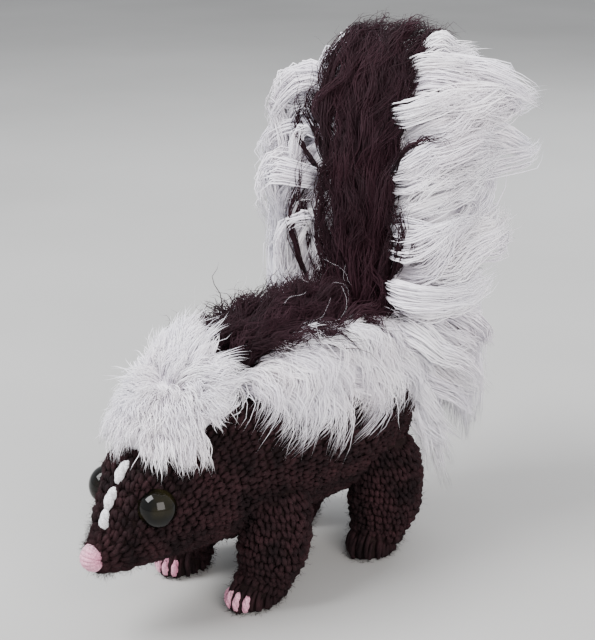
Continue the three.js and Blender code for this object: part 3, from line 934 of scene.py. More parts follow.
@dataclass
class CrochetSkin:
    """The stuffed body, head and legs: a plain skin under rounds of raised V stitches, with loose fuzz."""

    stitch_width: float = 5.0
    round_height: float = 4.6
    body_rounds: Span = (0.02, 0.985)
    leg_rounds: Span = (0.06, 0.93)
    least_rounds: int = 2
    least_stitches: int = 6
    place_noise: float = 0.05
    yarn_radius: float = 1.45
    yarn_power: float = 0.5
    yarn_widths: Span = (0.85, 1.1)
    slant: float = 0.3
    arm_gap: float = 0.12
    arm_spread: float = 0.3
    arm_power: float = 0.7
    arm_length: float = 1.16
    arm_start: float = 0.08
    arm_bow: float = 1.25
    arm_sink: float = 1.15
    arm_noise: float = 0.13
    height_noise: float = 0.3
    arm_points: int = 7
    arm_sides: int = 4
    sink: float = 1.6
    hiding_depth: float = 2.5
    bare_floor: float = 0.6
    floor_gap: float = 0.1
    body_grid: Grid = (96, 110)
    leg_grid: Grid = (48, 40)
    hiding_grid: Grid = (40, 40)
    ridge_points: int = 400
    girth_points: int = 61
    coat_places: Row = (0.39, 0.43, 0.47, 0.5, 0.56, 0.61, 0.9, 0.95)
    coat_widths: Row = (0, 34, 34, 24, 24, 46, 52, 0)
    seed: int = 7

    def build(self) -> None:
        """Makes the skin, the stitches and the fuzz."""
        self.skin()
        random = np.random.default_rng(self.seed)
        legs = list(LEGS.values())
        body_arms = self.stitches(BODY, self.body_rounds, random, self.under_coat)
        self.finish_stitches(body_arms, "body_stitches", legs, random)
        leg_arms = [self.stitches(leg, self.leg_rounds, random, None) for leg in legs]
        self.finish_stitches(np.concatenate(leg_arms), "leg_stitches", [BODY], random)
        Fuzz().build(random)

    def skin(self) -> None:
        """Makes the one skin that stands for the head, the torso and the legs, darkened as painted shade
        between the stitches.
        """
        shapes = [Shape(*BODY.grid(*self.body_grid, -self.sink))]
        shapes += [Shape(*leg.grid(*self.leg_grid, -self.sink)) for leg in LEGS.values()]
        whole = Shape.joined(shapes)
        whole.points[:, 2] = np.maximum(whole.points[:, 2], self.bare_floor)
        whole.piece("crochet_skin", SHADED_GAP_CROCHET.build(), SHADED_GAP_CROCHET.slot, ("head", "torso", *LEGS))

    def under_coat(self, t: float, angles: np.ndarray) -> np.ndarray:
        """Tells which stitches of a round the coat hides.

        Args:
            t: The round's place along the body.
            angles: Middle of each stitch in degrees.

        Returns:
            True for each hidden stitch.
        """
        off = np.abs((angles - 90 + 180) % 360 - 180)
        return off < np.interp(t, self.coat_places, self.coat_widths)

    def stitches(self, loft: Loft, ends: Span, random: Random, hidden: Hides | None) -> np.ndarray:
        """Lays rounds of stitches on a loft.

        Args:
            loft: Loft that carries them.
            ends: Where the first and the last round are, each 0 to 1.
            random: The skin's random numbers.
            hidden: Function of t and angles that tells hidden stitches, or None.

        Returns:
            Lines of the arms, of shape (arms, points, 3).
        """
        fine = np.linspace(*ends, self.ridge_points)
        ridge = loft.point(fine, 90.0)
        length = np.concatenate([[0], np.cumsum(np.linalg.norm(np.diff(ridge, axis=0), axis=1))])
        rounds = max(self.least_rounds, int(length[-1] / self.round_height))
        starts = np.interp(np.linspace(0, length[-1], rounds + 1), length, fine)
        arms = []
        for row in range(rounds):
            start, end = starts[row], starts[row + 1]
            middle = (start + end) / 2
            ring = loft.point(middle, np.linspace(0, 360, self.girth_points))
            girth = np.linalg.norm(np.diff(ring, axis=0), axis=1).sum()
            count = max(self.least_stitches, round(girth / self.stitch_width))
            places = np.arange(count) + 0.5 * (row % 2) + random.normal(0, self.place_noise, count)
            angles = places * 360 / count
            if hidden is not None:
                angles = angles[~hidden(middle, angles)]
            if len(angles):
                arms.append(self.round_arms(loft, (start, end), angles, 360 / count, random))
        return np.concatenate(arms)

    def round_arms(
        self, loft: Loft, ends: Span, angles: np.ndarray, pitch: float, random: Random
    ) -> np.ndarray:
        """Makes the two arms of each V in a round.

        Args:
            loft: Loft that carries them.
            ends: The round's start and end along the loft.
            angles: Middle of each stitch in degrees.
            pitch: Degrees from one stitch to the next.
            random: The skin's random numbers.

        Returns:
            Lines of the arms.
        """
        start, end = ends
        s = np.linspace(0, 1, self.arm_points)
        height = self.yarn_radius * (self.arm_bow * np.sin(math.pi * s) - self.arm_sink)
        opening = self.arm_gap + self.arm_spread * s**self.arm_power
        lines = []
        for way in (-1, 1):
            spread = pitch * (way * opening + self.slant * (s - 0.5))
            jitter = random.normal(0, self.arm_noise, (len(angles), 2))
            t = start + (end - start) * (self.arm_length * s[None] - self.arm_start + jitter[:, :1])
            angle = angles[:, None] + spread[None] * (1 + jitter[:, 1:])
            out = height[None] + random.normal(0, self.height_noise, (len(angles), 1))
            lines.append(loft.point(np.clip(t, 0, 1), angle, out))
        return np.concatenate(lines)

    def finish_stitches(self, lines: np.ndarray, name: str, others: list[Loft], random: Random) -> None:
        """Leaves out the arms that lie inside another part and makes the piece.

        Args:
            lines: Lines of the arms.
            name: Name of the piece.
            others: Lofts that may hide some arms.
            random: The skin's random numbers.
        """
        middles = lines[:, self.arm_points // 2]
        keep = middles[:, 2] > self.bare_floor
        for loft in others:
            keep &= ~inside(middles, *loft.grid(*self.hiding_grid, -self.hiding_depth))
        lines = lines[keep]
        lines[..., 2] = np.maximum(lines[..., 2], self.yarn_radius + self.floor_gap)
        s = np.linspace(0, 1, self.arm_points)
        belly = np.sin(math.pi * s)[None] ** self.yarn_power
        radius = self.yarn_radius * belly * random.uniform(*self.yarn_widths, (len(lines), 1))
        wide = unit(random.normal(0, 1, (len(lines), 3)))
        skin = tubes(lines, wide, radius, self.arm_sides)
        Shape(*skin).piece(name, DARK_CROCHET.build(), DARK_CROCHET.slot)


def inside(points: np.ndarray, skin: np.ndarray, triangles: np.ndarray) -> np.ndarray:
    """Tells which points lie inside a closed skin.

    Args:
        points: Points to test.
        skin: Points of the skin.
        triangles: Its triangles.

    Returns:
        True for each point inside.
    """
    tree = BVHTree.FromPolygons(skin.tolist(), triangles.tolist())
    found = []
    for point in points:
        near, normal, _, _ = tree.find_nearest(Vector(point))
        found.append((Vector(point) - near).dot(normal) < 0)
    return np.array(found)


@dataclass
class Coat:
    """One brushed coat: its pad, its locks and the finish that all share."""

    name: str
    node: str
    finish: HairFinish
    brush: Brush
    seed: int
    pieces: int = 1

    def guides(self, random: Random) -> Iterator[Guide]:
        """Plans the coat's locks.

        Args:
            random: The coat's random numbers.

        Returns:
            The guide, side, spot and scale of each lock, one after the other.
        """
        raise NotImplementedError

    def base(self) -> list[Shape]:
        """Returns the pads or cores under the locks."""
        return []

    def build(self) -> None:
        """Makes the coat in one or more pieces."""
        random = np.random.default_rng(self.seed)
        locks = [self.brush.lock(*guide, random) for guide in self.guides(random)]
        material = self.finish.build()
        for i in range(self.pieces):
            share = locks[i :: self.pieces]
            if i == 0:
                share = self.base() + share
            label = self.name if self.pieces == 1 else f"{self.name}_{i + 1}"
            Shape.joined(share).piece(label, material, self.finish.slot, (self.node,) if i == 0 else ())


def lying_guide(
    loft: Loft, root: Spot, run: Span, heights: Row, swing: np.ndarray | float = 0.0
) -> np.ndarray:
    """Makes the guide of a lock that lies on a loft.

    Args:
        loft: Loft that carries it.
        root: The root's place along the loft and round it in degrees.
        run: How far it runs along the loft and round it in degrees.
        heights: How far root, middle and tip stand out.
        swing: How far each of the guide's points swings out along the loft.

    Returns:
        Guide points from root to tip.
    """
    t, angle = root
    run_t, run_angle = run
    low, middle, tip = heights
    out = np.array([low, low + (middle - low) * GUIDE_RISE, middle, (middle + tip) / 2, tip])
    s = np.linspace(0, 1, GUIDE_POINTS)
    return loft.point(t + run_t * s + swing, angle + run_angle * s, out)


def lock_side(guide: np.ndarray, normal: np.ndarray) -> np.ndarray:
    """Returns the way across a lock that lies on a surface with that normal."""
    return unit(np.cross(guide[-1] - guide[0], normal))


@dataclass
class Crest(Coat):
    """White fluffy hair that bursts from a whorl on the crown to forehead, cheeks and shoulders."""

    pad: Pad = Pad(0.47, 0.078, 90, 40, 14)
    whorl_t: float = 0.485
    locks: int = 190
    ahead_t: float = 0.08
    behind_t: float = 0.052
    beside: float = 42
    run_t: float = 0.052
    run_angle: float = 21
    forward_pull: float = 0.12
    turn_noise: float = 0.1
    t_noise: float = 0.006
    angle_noise: float = 4
    run_t_noise: float = 0.007
    run_angle_noise: float = 5
    inner_length: float = 0.55
    outer_length: float = 0.45
    lengths: Span = (0.65, 1.2)
    places: Row = (0.33, 0.36, 0.4, 0.44, 0.48, 0.545, 0.6)
    rises: Row = (0, 6, 16, 22, 26, 30, 24)
    root_rise: float = 0.4
    middle_rise: float = 0.82
    tip_rises: Span = (0.75, 1.1)
    least_tip: float = 1
    widest: float = 60
    edge_fall: float = 0.92
    edge_power: float = 1.7
    gap_places: Row = (0.47, 0.505, 0.54, 0.59)
    gap_angles: Row = (72, 42, 38, 27)
    gap_noise: float = 3
    scales: Row = (0.65, 0.9, 1.3)

    def base(self) -> list[Shape]:
        """Returns the pad under the crest."""
        return [self.pad.shape(BODY)]

    def rise(self, t: float, angle: float) -> float:
        """Returns how far the crest stands out at t and angle."""
        off = min(abs(angle - 90) / self.widest, 1)
        return np.interp(t, self.places, self.rises) * (1 - self.edge_fall * off**self.edge_power)

    def guides(self, random: Random) -> Iterator[Guide]:
        """Plans locks from the whorl outwards.

        Args:
            random: The coat's random numbers.

        Returns:
            The guide, side, spot and scale of each lock, one after the other.
        """
        for i in range(self.locks):
            out = math.sqrt((i + 0.5) / self.locks)
            turn = i * math.pi * GOLDEN_SHARE + random.normal(0, self.turn_noise)
            forward, sideways = math.cos(turn), math.sin(turn)
            reach_t = self.behind_t if forward > 0 else self.ahead_t
            t = self.whorl_t + out * forward * reach_t + random.normal(0, self.t_noise)
            angle = 90 + out * sideways * self.beside + random.normal(0, self.angle_noise)
            length = (self.inner_length + self.outer_length * out) * random.uniform(*self.lengths)
            along = (forward * length - self.forward_pull) * self.run_t + random.normal(0, self.run_t_noise)
            around = sideways * length * self.run_angle + random.normal(0, self.run_angle_noise)
            limit = np.interp(t + along, self.gap_places, self.gap_angles)
            within = np.clip(angle + around, 90 - limit, 90 + limit)
            around = within - angle + random.normal(0, self.gap_noise)
            low = self.root_rise * self.rise(t, angle)
            middle = self.middle_rise * self.rise(t + along / 2, angle + around / 2)
            tip = self.rise(t + along, angle + around) * random.uniform(*self.tip_rises)
            guide = lying_guide(BODY, (t, angle), (along, around), (low, middle, max(tip, self.least_tip)))
            side = lock_side(guide, BODY.normal(t, angle))
            yield guide, side, (angle / 360, t), random.choice(self.scales)


@dataclass(frozen=True)
class Tier:
    """One row of a stripe's locks: its angle, its two ends, how far the locks run and their heights."""

    angle: float
    count: int
    first_t: float
    last_t: float
    run: float
    heights: Row


@dataclass
class Stripe(Coat):
    """White hair along a flank that falls down and back to a pointed fringe."""

    flank: Flank = Flank.LEFT
    pad: Pad = Pad(0.74, 0.16, 46, 19, 6)
    tiers: tuple[Tier, ...] = (
        Tier(36, 15, 0.59, 0.93, 38, (0, 6, 1.5)),
        Tier(43, 15, 0.58, 0.935, 44, (0, 9, 3)),
        Tier(50, 15, 0.567, 0.94, 46, (1, 11, 5)),
        Tier(57, 15, 0.553, 0.94, 46, (2, 13, 7)),
        Tier(64, 16, 0.54, 0.94, 38, (2, 15, 10)),
        Tier(67, 16, 0.54, 0.94, 29, (2, 13, 10)),
    )
    turn_t: Span = (-0.018, 0.075)
    turn_noise: float = 0.016
    unevenness: float = 0.6
    angle_noise: float = 2
    runs: Span = (0.5, 1.14)
    rises: Span = (0.8, 1.2)
    swings: Span = (0.01, 0.05)
    scales: Row = (0.6, 0.95, 1.5)

    def base(self) -> list[Shape]:
        """Returns the pad under the stripe."""
        return [self.pad.shape(BODY, self.flank)]

    def guides(self, random: Random) -> Iterator[Guide]:
        """Plans locks tier by tier, the lowest tier first.

        Args:
            random: The coat's random numbers.

        Returns:
            The guide, side, spot and scale of each lock, one after the other.
        """
        bow = np.sin(math.pi * np.linspace(0, 1, GUIDE_POINTS))
        for tier in self.tiers:
            for i in range(tier.count):
                place = i + self.unevenness * (random.random() - 0.5)
                t = tier.first_t + (tier.last_t - tier.first_t) * place / (tier.count - 1)
                angle = self.flank.turn(tier.angle + random.normal(0, self.angle_noise))
                down = -self.flank.value * tier.run * random.uniform(*self.runs)
                rise = random.uniform(*self.rises)
                heights = tuple(height * rise for height in tier.heights)
                ahead = np.interp(i / tier.count, [0, 1], self.turn_t) + random.normal(0, self.turn_noise)
                swing = random.uniform(*self.swings) * bow
                guide = lying_guide(BODY, (t, angle), (ahead, down), heights, swing)
                side = lock_side(guide, BODY.normal(t, angle))
                yield guide, side, (angle / 360 % 1, t), random.choice(self.scales)


@dataclass
class BackFur(Coat):
    """Dark curly hair on the back, tousled and leaning towards the tail."""

    pad: Pad = Pad(0.69, 0.14, 90, 23, 12)
    rows: int = 12
    columns: Row = (66, 73, 80, 87, 94, 101, 108, 115)
    first_t: float = 0.548
    span_t: float = 0.282
    angle_noise: float = 3
    height: float = 20
    heights: Span = (0.8, 1.2)
    side_fall: float = 0.12
    root_height: float = 2
    middle_share: float = 0.85
    runs: Span = (0.01, 0.07)
    parting: float = 0.3
    around_noise: float = 9
    scales: Span = (0.7, 1.2)

    def base(self) -> list[Shape]:
        """Returns the pad under the fur."""
        return [self.pad.shape(BODY)]

    def guides(self, random: Random) -> Iterator[Guide]:
        """Plans locks row by row from the crest to the tail.

        Args:
            random: The coat's random numbers.

        Returns:
            The guide, side, spot and scale of each lock, one after the other.
        """
        for row in range(self.rows):
            for column in self.columns:
                t = self.first_t + self.span_t * (row + random.random()) / self.rows
                angle = column + random.normal(0, self.angle_noise)
                rise = self.height * random.uniform(*self.heights) - self.side_fall * abs(angle - 90)
                along = random.uniform(*self.runs)
                around = (column - 90) * self.parting + random.normal(0, self.around_noise)
                heights = (self.root_height, rise * self.middle_share, rise)
                guide = lying_guide(BODY, (t, angle), (along, around), heights)
                side = lock_side(guide, BODY.normal(t, angle))
                yield guide, side, (angle / 360, t), random.uniform(*self.scales)


@dataclass(frozen=True)
class Plume:
    """How far the tail's hair stands off its core, by place along the tail and by angle."""

    t: Row = (0, 0.1, 0.25, 0.5, 0.67, 0.83, 0.92, 1)
    dark: Row = (6, 13, 17, 19, 19, 20, 20, 4)
    white: Row = (30, 46, 65, 72, 72, 75, 64, 12)
    dark_shares: Span = (0.4, 1.05)
    white_shares: tuple[float, float, float] = (0.74, 0.78, 0.75)
    diagonal: float = 0.23
    front_gain: float = 1.8
    near_edge: float = 32
    far_edge: tuple[Spot, ...] = ((0.0, 116), (0.4, 112), (0.62, 138), (1.0, 148))
    core_rings: int = 101
    core_columns: int = 40
    core_share: float = 0.46
    rim_share: float = 0.3
    edge: float = 38
    edge_power: float = 0.7
    relief: float = 0.1
    ridges: float = 95
    ridge_wobbles: float = 5
    ridge_wobble: float = 2.2
    furrows: float = 9
    furrow_turn: float = 17

    def near(self, t: np.ndarray | float) -> np.ndarray | float:
        """Returns the angle at which the dark strip ends on the near side at t."""
        return self.near_edge + 0 * t

    def far(self, t: np.ndarray | float) -> np.ndarray:
        """Returns the angle at which the dark strip ends on the far side at t."""
        places, angles = zip(*self.far_edge)
        return np.interp(t, places, angles)

    def dark_reach(self, t: np.ndarray, angle: np.ndarray) -> np.ndarray:
        """Finds how far dark tips stand off the core.

        Args:
            t: Places along the tail, 0 to 1.
            angle: Degrees round it.

        Returns:
            Their reach in millimetres.
        """
        front, edge = self.dark_shares
        side = np.abs(np.sin(2 * np.radians(angle)))
        return np.interp(t, self.t, self.dark) * (front + (edge - front) * side)

    def white_reach(self, t: np.ndarray, angle: np.ndarray) -> np.ndarray:
        """Finds how far white tips stand off the core.

        Args:
            t: Places along the tail, 0 to 1.
            angle: Degrees round it.

        Returns:
            Their reach in millimetres.
        """
        front, beside, behind = self.white_shares
        rise = np.sin(np.radians(angle))
        diagonal = np.abs(np.sin(2 * np.radians(angle))) * self.diagonal
        back = beside + (behind - beside) * -rise + diagonal
        ahead = beside + (front - beside) * rise * self.front_gain
        return np.interp(t, self.t, self.white) * np.where(rise < 0, back, ahead)

    def core(self, first: Edge, last: Edge, reach: Reach) -> Shape:
        """Makes a sector of the tail's soft core.

        Args:
            first: Function of t for the angle of one edge.
            last: Function of t for the angle of the other edge.
            reach: Function of t and angle for the hair's reach there.

        Returns:
            The closed sector.
        """
        t = np.linspace(0, 1, self.core_rings)[1:-1, None]
        first, last = first(t), last(t)
        edges = first + (last - first) * np.linspace(0, 1, self.core_columns)[None]
        wobble = np.sin(np.radians(edges) * self.ridge_wobbles) * self.ridge_wobble
        furrows = np.sin(np.radians(edges) * self.furrows + t * self.furrow_turn)
        relief = self.relief * (np.sin(t * self.ridges + wobble) * furrows)
        rise = np.clip(np.minimum(edges - first, last - edges) / self.edge, 0, 1)
        depth = self.rim_share + (1 - self.rim_share) * rise**self.edge_power
        share = self.core_share * depth * (1 + relief)
        shell = TAIL.point(t, edges, reach(t, edges) * share)
        rings = np.concatenate([shell, TAIL.path.at(t)], axis=1)
        ends = TAIL.path.at(np.array([0.0, 1.0]))
        return felted(*closed_rings(rings[None], ends[:1], ends[1:]))


PLUME = Plume()


@dataclass
class DarkTail(Coat):
    """The long wavy dark hair up the tail's front, which curls back over the top."""

    rows: int = 14
    columns: Row = (33, 38, 46, 54, 62, 70, 78, 86, 94, 102, 110, 118, 126, 134, 142)
    first_t: float = 0.06
    span_t: float = 0.84
    far_rim: float = 4
    runs: Span = (0.24, 0.4)
    last_t: float = 1.1
    parting: float = 0.14
    angle_noise: float = 2
    guide_points: int = 9
    ripple: float = 8
    ripples: Span = (0.5, 1.5)
    ripple_turns: Span = (6, 11)
    ripple_root: float = 0.3
    reach_places: Row = (0, 0.25, 0.6, 1)
    reach_shares: Row = (0.5, 0.85, 0.95, 1.0)
    reaches: Span = (0.8, 1.15)
    swell: float = 0.14
    swell_turn: float = 8
    scales: Span = (0.7, 1.2)
    bend_t: float = 0.89
    tail_length: float = 170
    curl_back: Span = (0.6, 1.6)
    curl_up: Span = (0.78, -2.4)
    stray_scale: float = 0.45
    stray_copies: int = 2
    stray_noise: float = 1.2
    stray_side: Point = (1.0, 1.0, 0.2)
    stray_spot: Spot = (0.25, 0.5)
    strays: tuple[tuple[Point, ...], ...] = (
        ((24, 42, 195), (44, 34, 216), (51, 40, 222), (56, 47, 220), (61, 54, 217)),
        ((26, 43, 144), (38, 36, 165), (42, 35, 184), (38, 36, 195)),
        ((28, 44, 149), (40, 38, 161), (46, 37, 168), (51, 44, 170)),
        ((24, 52, 234), (39, 57, 239), (45, 60, 237), (50, 62, 234)),
        ((-17, 30, 136), (-23, 25, 164), (-22, 24, 188), (-14, 26, 210)),
        ((-24, 38, 132), (-26, 34, 154), (-26, 33, 173), (-24, 34, 189), (-18, 36, 204)),
        ((-27, 41, 134), (-30, 36, 158), (-30, 35, 181), (-27, 35, 199), (-20, 34, 216)),
        ((-17, 38, 134), (-20, 32, 158), (-20, 31, 179), (-15, 33, 198)),
        ((-4, 36, 136), (-10, 30, 160), (-11, 30, 181), (-4, 32, 200)),
        ((-18, 37, 196), (-28, 34, 212), (-30, 34, 226), (-24, 37, 241)),
        ((-10, 36, 205), (-20, 33, 221), (-20, 34, 236), (-14, 38, 250)),
    )

    def base(self) -> list[Shape]:
        """Returns the dark sector of the tail's core."""
        return [PLUME.core(PLUME.near, PLUME.far, PLUME.dark_reach)]

    def guides(self, random: Random) -> Iterator[Guide]:
        """Plans locks from the tail's root to its top, and then the strays.

        Args:
            random: The coat's random numbers.

        Returns:
            The guide, side, spot and scale of each lock, one after the other.
        """
        for row in range(self.rows):
            for column in self.columns:
                t = self.first_t + self.span_t * (row + random.random()) / self.rows
                if column <= PLUME.far(t) - self.far_rim:
                    guide = self.rising_guide(t, column, random)
                    side = lock_side(guide, TAIL.normal(t, column))
                    yield guide, side, (column / 360, t), random.uniform(*self.scales)
        yield from self.stray_guides(random)

    def rising_guide(self, t: float, column: float, random: Random) -> np.ndarray:
        """Makes the guide of one lock that rises along the tail and curls back over its top.

        Args:
            t: The root's place along the tail.
            column: The root's angle in degrees.
            random: The coat's random numbers.

        Returns:
            Guide points from root to tip.
        """
        run = min(random.uniform(*self.runs), self.last_t - t)
        spread = (column - 90) * self.parting
        s = np.linspace(0, 1, self.guide_points)
        place = np.minimum(t + run * s, self.bend_t)
        beyond = np.maximum(t + run * s - self.bend_t, 0)
        phase = random.uniform(0, 2 * math.pi)
        height = self.ripple * random.uniform(*self.ripples)
        ripple = height * np.sin(phase + s * random.uniform(*self.ripple_turns)) * (self.ripple_root + s)
        toward = column + random.normal(0, self.angle_noise) + spread * s + ripple
        share = np.interp(s, self.reach_places, self.reach_shares) * random.uniform(*self.reaches)
        swell = 1 + self.swell * np.sin(phase * 2 + s * self.swell_turn)
        out = PLUME.dark_reach(place, toward) * share * swell
        back = self.curl_back[0] + self.curl_back[1] * beyond
        up = self.curl_up[0] + self.curl_up[1] * beyond
        curl = np.stack([0 * beyond, back, up], -1)
        return TAIL.point(place, toward, out) + (self.tail_length * beyond)[:, None] * curl

    def stray_guides(self, random: Random) -> Iterator[Guide]:
        """Plans thin dark strands that wander over the white beside the strip.

        Args:
            random: The coat's random numbers.

        Returns:
            The guide, side, spot and scale of each strand, one after the other.
        """
        for stray in self.strays:
            for _ in range(self.stray_copies):
                guide = np.array(stray, float) + random.normal(0, self.stray_noise, (len(stray), 3))
                yield guide, unit(np.array(self.stray_side)), self.stray_spot, self.stray_scale


@dataclass
class WhiteTail(Coat):
    """One half of the white plume, with the hair that hangs behind the rump."""

    flank: Flank = Flank.LEFT
    rows: int = 16
    columns: Row = (31, 24, 16, 7, -3, -17, -32, -47, -61, -75, -88)
    front_columns: Row = ()
    back_edge: float = -90
    front_span: float = 120
    front_edge: float = 38
    far_rim: float = 3
    edge_slack: float = 2
    first_t: float = 0.04
    span_t: float = 0.92
    unevenness: float = 0.6
    angle_noise: float = 4
    lift_places: Row = (0, 0.1, 0.22, 0.6, 1)
    lifts: Row = (-74, -34, 12, 24, 4)
    lift_noise: float = 8
    far_top: float = 0.84
    droop_column: float = 5
    droop: float = 14
    droop_share: float = 0.62
    sweep: float = 42
    sweep_noise: float = 8
    front_sweep: float = 1.6
    front_loss: float = 0.014
    bold_share: float = 0.22
    bold_reaches: Span = (0.95, 1.03)
    reaches: Span = (0.72, 0.86)
    reach_share: float = 1
    shares: Span = (1, 1)
    share_start: float = 10
    share_span: float = 40
    root_loss: float = 0.75
    stages: tuple[Point, ...] = ((0.3, 0, 0), (0.62, 0.3, 0.25), (0.84, 0.6, 0.6), (1, 1, 1))
    bend: float = 3.2
    bend_shares: Row = (0, 1, 1, 0.3)
    tufts: Row = (260, 249, 213, 172, 132, 98)
    tuft_pull: float = 0.8
    tuft_front_loss: float = 0.7
    tuft_gap: float = 18
    tuft_reach: float = 1.08
    tuft_notch: float = 0.36
    first_tuft_t: float = 0.15
    tilt: float = 0.9
    bold_scale: float = 1.35
    scales: Span = (0.7, 1.05)
    hanging: tuple[tuple[Point, Point], ...] = (
        ((8, 80, 124), (8, 105, 46)), ((15, 78, 122), (23, 102, 42)), ((21, 72, 118), (35, 91, 54)),
        ((9, 84, 126), (12, 114, 62)), ((19, 82, 124), (30, 108, 64)), ((25, 72, 120), (40, 94, 70)),
    )
    hanging_copies: int = 5
    hanging_root_noise: float = 4
    hanging_tip_noise: float = 6
    hanging_bend: tuple[Point, Point] = ((0.5, 0.6, 0.08), (2, 6, 4))
    hanging_low: tuple[Point, Point] = ((0.9, 0.95, 0.5), (0, 5, 0))
    hanging_side: Point = (1, -0.5, 0)
    hanging_spot: Spot = (0.75, 0.05)
    hanging_scales: Span = (0.8, 1.2)

    def base(self) -> list[Shape]:
        """Returns the white sector of the tail's core on this side, up to the seam behind the tail."""
        if self.flank is Flank.LEFT:
            return [PLUME.core(lambda t: self.back_edge + 0 * t, PLUME.near, PLUME.white_reach)]
        return [PLUME.core(PLUME.far, lambda t: self.back_edge + 360 + 0 * t, PLUME.white_reach)]

    def frontness(self, column: float) -> float:
        """Returns how far to the front a column stands, from 0 behind to 1."""
        return min((column - self.back_edge) / self.front_span, 1)

    def guides(self, random: Random) -> Iterator[Guide]:
        """Plans the plume's locks from the root up, and then the hanging ones.

        Args:
            random: The coat's random numbers.

        Returns:
            The guide, side, spot and scale of each lock, one after the other.
        """
        for row in range(self.rows):
            for i, column in enumerate(self.columns + self.front_columns):
                s = (row + 0.5 * (i % 2) + random.random() * self.unevenness) / self.rows
                t = self.first_t + self.span_t * s
                in_front = column > self.front_edge
                if not (in_front and self.flank.turn(column) < PLUME.far(t) + self.far_rim):
                    yield self.plume_lock(s, t, column, random)
        yield from self.hanging_guides(random)

    def plume_lock(self, s: float, t: float, column: float, random: Random) -> Guide:
        """Plans one lock that stands out from the tail and gathers towards the nearest tuft.

        Args:
            s: The root's place among the rows, 0 to 1.
            t: The root's place along the tail.
            column: The root's angle on the left side in degrees.
            random: The coat's random numbers.

        Returns:
            The lock's guide, side, spot and scale.
        """
        _, rises, turns = np.array(self.stages).T
        droops = self.flank is Flank.RIGHT and column > self.droop_column and t > self.far_top
        angle = self.flank.turn(column + min(random.normal(0, self.angle_noise), self.edge_slack))
        lift = np.interp(s, self.lift_places, self.lifts) + random.normal(0, self.lift_noise)
        lift -= self.droop if droops else 0
        front = self.frontness(column)
        beyond = max(column - self.front_edge, 0)
        sweep = self.sweep * front + self.front_sweep * beyond
        swirl = random.normal(0, self.sweep_noise) - self.flank.value * sweep
        bold = random.random() < self.bold_share
        toward = angle + swirl * turns
        reach = self.plume_reach(s, t, column, toward, bold, droops, random)
        heading = TAIL.normal(t, angle)
        tip_height = TAIL.point(t, angle)[2] + heading[2] * reach[-1] + lift
        off = min((tuft - tip_height for tuft in self.tufts), key=abs) if t > self.first_tuft_t else 0
        reach = reach * (self.tuft_reach - self.tuft_notch * min(abs(off) / self.tuft_gap, 1) * turns)
        lift += self.tuft_pull * (1 - self.tuft_front_loss * front) * off
        guide = TAIL.point(t, toward) + TAIL.normal(t, toward) * reach[:, None]
        bend = random.normal(0, self.bend, (len(rises), 3)) * np.array(self.bend_shares)[:, None]
        guide = guide + bend + UP * (lift * rises)[:, None]
        tilt = random.uniform(-self.tilt, self.tilt)
        side = unit(UP + tilt * np.array([-heading[1], heading[0], 0]))
        scale = self.bold_scale if bold else random.uniform(*self.scales)
        return guide, side, (angle / 360 % 1, t), scale

    def plume_reach(
        self, s: float, t: float, column: float, toward: np.ndarray, bold: bool, droops: bool, random: Random
    ) -> np.ndarray:
        """Finds how far each point of a plume lock stands off the core.

        Args:
            s: The root's place among the rows, 0 to 1.
            t: The root's place along the tail.
            column: The root's angle on the left side in degrees.
            toward: Angle of each point in degrees.
            bold: Whether the lock is one of the long ones.
            droops: Whether it hangs over on the far side's top.
            random: The coat's random numbers.

        Returns:
            The reach of each point, before tufts.
        """
        beyond = max(column - self.front_edge, 0)
        scale = random.uniform(*(self.bold_reaches if bold else self.reaches))
        front_share = np.clip((column + self.share_start) / self.share_span, 0, 1)
        scale *= 1 + (np.interp(s, [0, 1], self.shares) - 1) * front_share
        scale *= self.reach_share * (1 - self.front_loss * beyond) * (self.droop_share if droops else 1)
        reach = PLUME.white_reach(t, toward) * np.array(self.stages)[:, 0] * scale
        reach[0] *= 1 - self.root_loss * self.frontness(column)
        return reach

    def hanging_guides(self, random: Random) -> Iterator[Guide]:
        """Plans the locks that fall behind the rump.

        Args:
            random: The coat's random numbers.

        Returns:
            The guide, side, spot and scale of each lock, one after the other.
        """
        flip = np.array([self.flank.value, 1, 1])
        side = unit(np.array(self.hanging_side) * np.array([1, self.flank.value, 1]))
        for root_place, tip_place in self.hanging:
            for _ in range(self.hanging_copies):
                root = np.array(root_place) * flip + random.normal(0, self.hanging_root_noise, 3)
                tip = np.array(tip_place) * flip + random.normal(0, self.hanging_tip_noise, 3)
                share, out = self.hanging_bend
                bend = root + (tip - root) * np.array(share) + np.array(out) * flip
                share, out = self.hanging_low
                low = root + (tip - root) * np.array(share) + np.array(out) * flip
                guide = np.array([root, bend, low, tip])
                yield guide, side, self.hanging_spot, random.uniform(*self.hanging_scales)


